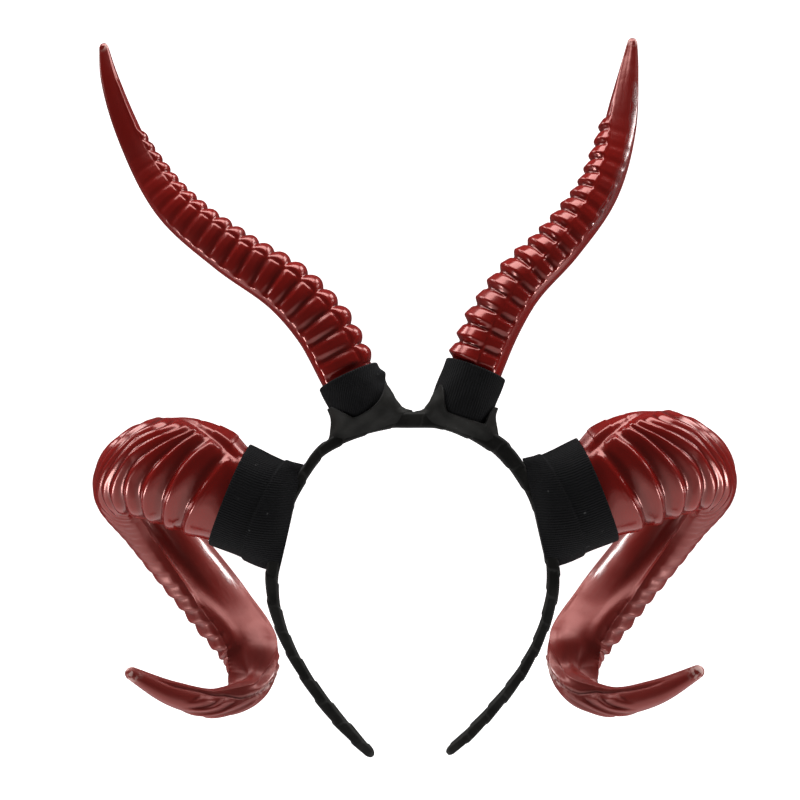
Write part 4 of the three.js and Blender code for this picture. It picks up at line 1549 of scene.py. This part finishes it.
def add_floor(glow):
    bm = bmesh.new()
    bmesh.ops.create_grid(bm, x_segments=1, y_segments=1, size=FLOOR_HALF)
    mesh = bpy.data.meshes.new("floor")
    bm.to_mesh(mesh)
    bm.free()
    material, nodes, shader = new_material("pale_floor")
    nodes.set(shader, Base_Color=(0.9, 0.9, 0.9, 1), Roughness=0.9)
    nodes.set(shader, Emission_Color=(1, 1, 1, 1), Emission_Strength=glow)
    mesh.materials.append(material)
    floor = bpy.data.objects.new("floor", mesh)
    floor.location.z = min(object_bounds()[0].z, 0)
    floor.visible_glossy = False
    floor.visible_shadow = False
    bpy.context.scene.collection.objects.link(floor)
    floor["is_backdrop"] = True


def add_camera(settings):
    """A camera straight before the headband's front, as worn, with the picture's width at the band."""
    lay = lay_matrix()
    data = bpy.data.cameras.new("photo_camera")
    data.sensor_width = SENSOR_WIDTH
    data.lens = SENSOR_WIDTH * settings.distance / settings.view_width
    camera = bpy.data.objects.new("photo_camera", data)
    right, back, up = (lay.to_3x3().col[axis].normalized() for axis in range(3))
    turn = Matrix((right, up, -back)).transposed().to_4x4()
    camera.matrix_world = Matrix.Translation(lay @ VIEW_CENTRE - back * settings.distance) @ turn
    bpy.context.scene.collection.objects.link(camera)
    bpy.context.scene.camera = camera


# Operators


class HEADBAND_OT_upright_horns(bpy.types.Operator):
    """Model the two upright ribbed horns"""

    bl_idname = "headband.upright_horns"
    bl_label = "Upright Horns"

    def execute(self, context):
        settings = context.scene.headband_horns
        material = bpy.data.materials.get("glossy_horn") or horn_plastic(settings)
        for side, name in SIDE_NAMES.items():
            bm = upright_horn(side, settings)
            add_piece(bm, f"horn_upright_{name}", f"upright_horn_{name}", material)
        return {"FINISHED"}


class HEADBAND_OT_ram_horns(bpy.types.Operator):
    """Model the two curled ram horns"""

    bl_idname = "headband.ram_horns"
    bl_label = "Ram Horns"

    def execute(self, context):
        settings = context.scene.headband_horns
        material = bpy.data.materials.get("glossy_horn") or horn_plastic(settings)
        for side, name in SIDE_NAMES.items():
            bm = ram_horn(side, settings)
            add_piece(bm, f"horn_ram_{name}", f"ram_horn_{name}", material)
        return {"FINISHED"}


class HEADBAND_OT_wound_band(bpy.types.Operator):
    """Model the band wound with ribbon"""

    bl_idname = "headband.wound_band"
    bl_label = "Wound Band"

    def execute(self, context):
        settings = context.scene.headband_cloth
        material = bpy.data.materials.get("wound_satin") or satin_ribbon(settings)
        add_piece(wound_band(settings), "band_wound", "wound_band", material)
        return {"FINISHED"}


class HEADBAND_OT_foot_ribbons(bpy.types.Operator):
    """Model the ribbons that cross round the upright horns' feet"""

    bl_idname = "headband.foot_ribbons"
    bl_label = "Foot Ribbons"

    def execute(self, context):
        settings = context.scene.headband_cloth
        material = bpy.data.materials.get("wound_satin") or satin_ribbon(settings)
        for side, name in SIDE_NAMES.items():
            node = f"foot_ribbon_{name}"
            piece = add_piece(foot_ribbon(side), f"ribbon_foot_{name}", node, material)
        return {"FINISHED"}


class HEADBAND_OT_sleeves(bpy.types.Operator):
    """Model the cloth sleeves round the feet of all four horns"""

    bl_idname = "headband.sleeves"
    bl_label = "Sleeves"

    def execute(self, context):
        settings = context.scene.headband_cloth
        material = bpy.data.materials.get("ribbed_sleeve_cloth") or sleeve_cloth(settings)
        for side, name in SIDE_NAMES.items():
            bm = upright_sleeve(side, settings)
            node = f"upright_sleeve_{name}"
            piece = add_piece(bm, f"sleeve_upright_{name}", node, material)
            bm = ram_sleeve(side, settings)
            piece = add_piece(bm, f"sleeve_ram_{name}", f"ram_sleeve_{name}", material)
        return {"FINISHED"}


class HEADBAND_OT_stage(bpy.types.Operator):
    """Set up the floor, the soft lights and the camera"""

    bl_idname = "headband.stage"
    bl_label = "Stage"

    def execute(self, context):
        scene = context.scene
        settings = scene.headband_stage
        add_floor(settings.floor_glow)
        add_camera(settings)
        for light in MIDDLE_LIGHTS:
            add_light(settings, RIGHT, *light)
        for side in SIDE_NAMES:
            for light in SIDE_LIGHTS:
                add_light(settings, side, *light)
        world = bpy.data.worlds.new("studio")
        world.use_nodes = True
        background = world.node_tree.nodes["Background"].inputs
        background["Color"].default_value = (1, 1, 1, 1)
        background["Strength"].default_value = WORLD_STRENGTH
        scene.world = world
        scene.view_settings.view_transform = "Standard"
        return {"FINISHED"}


class HEADBAND_PT_panel(bpy.types.Panel):
    """Lists the steps that make the headband"""

    bl_label = "Goat Horns Headband"
    bl_idname = "HEADBAND_PT_panel"
    bl_space_type = "VIEW_3D"
    bl_region_type = "UI"
    bl_category = "Headband"

    def draw(self, context):
        column = self.layout.column()
        for operator in OPERATORS:
            column.operator(operator.bl_idname)
        for name in SETTINGS:
            settings = getattr(context.scene, name)
            column.label(text=settings.bl_rna.description)
            for field in settings.__annotations__:
                column.prop(settings, field)


SETTINGS = {
    "headband_horns": HornSettings,
    "headband_cloth": ClothSettings,
    "headband_stage": StageSettings,
}
OPERATORS = (
    HEADBAND_OT_upright_horns,
    HEADBAND_OT_ram_horns,
    HEADBAND_OT_wound_band,
    HEADBAND_OT_sleeves,
    HEADBAND_OT_foot_ribbons,
    HEADBAND_OT_stage,
)


def register():
    for settings in SETTINGS.values():
        bpy.utils.register_class(settings)
    for name, settings in SETTINGS.items():
        setattr(bpy.types.Scene, name, PointerProperty(type=settings))
    for operator in OPERATORS:
        bpy.utils.register_class(operator)
    bpy.utils.register_class(HEADBAND_PT_panel)


def unregister():
    bpy.utils.unregister_class(HEADBAND_PT_panel)
    for operator in reversed(OPERATORS):
        bpy.utils.unregister_class(operator)
    for name in SETTINGS:
        delattr(bpy.types.Scene, name)
    for settings in reversed(SETTINGS.values()):
        bpy.utils.unregister_class(settings)


def main():
    register()
    bpy.ops.headband.upright_horns()
    bpy.ops.headband.ram_horns()
    bpy.ops.headband.wound_band()
    bpy.ops.headband.sleeves()
    bpy.ops.headband.foot_ribbons()
    bpy.ops.headband.stage()


if __name__ == "__main__":
    main()
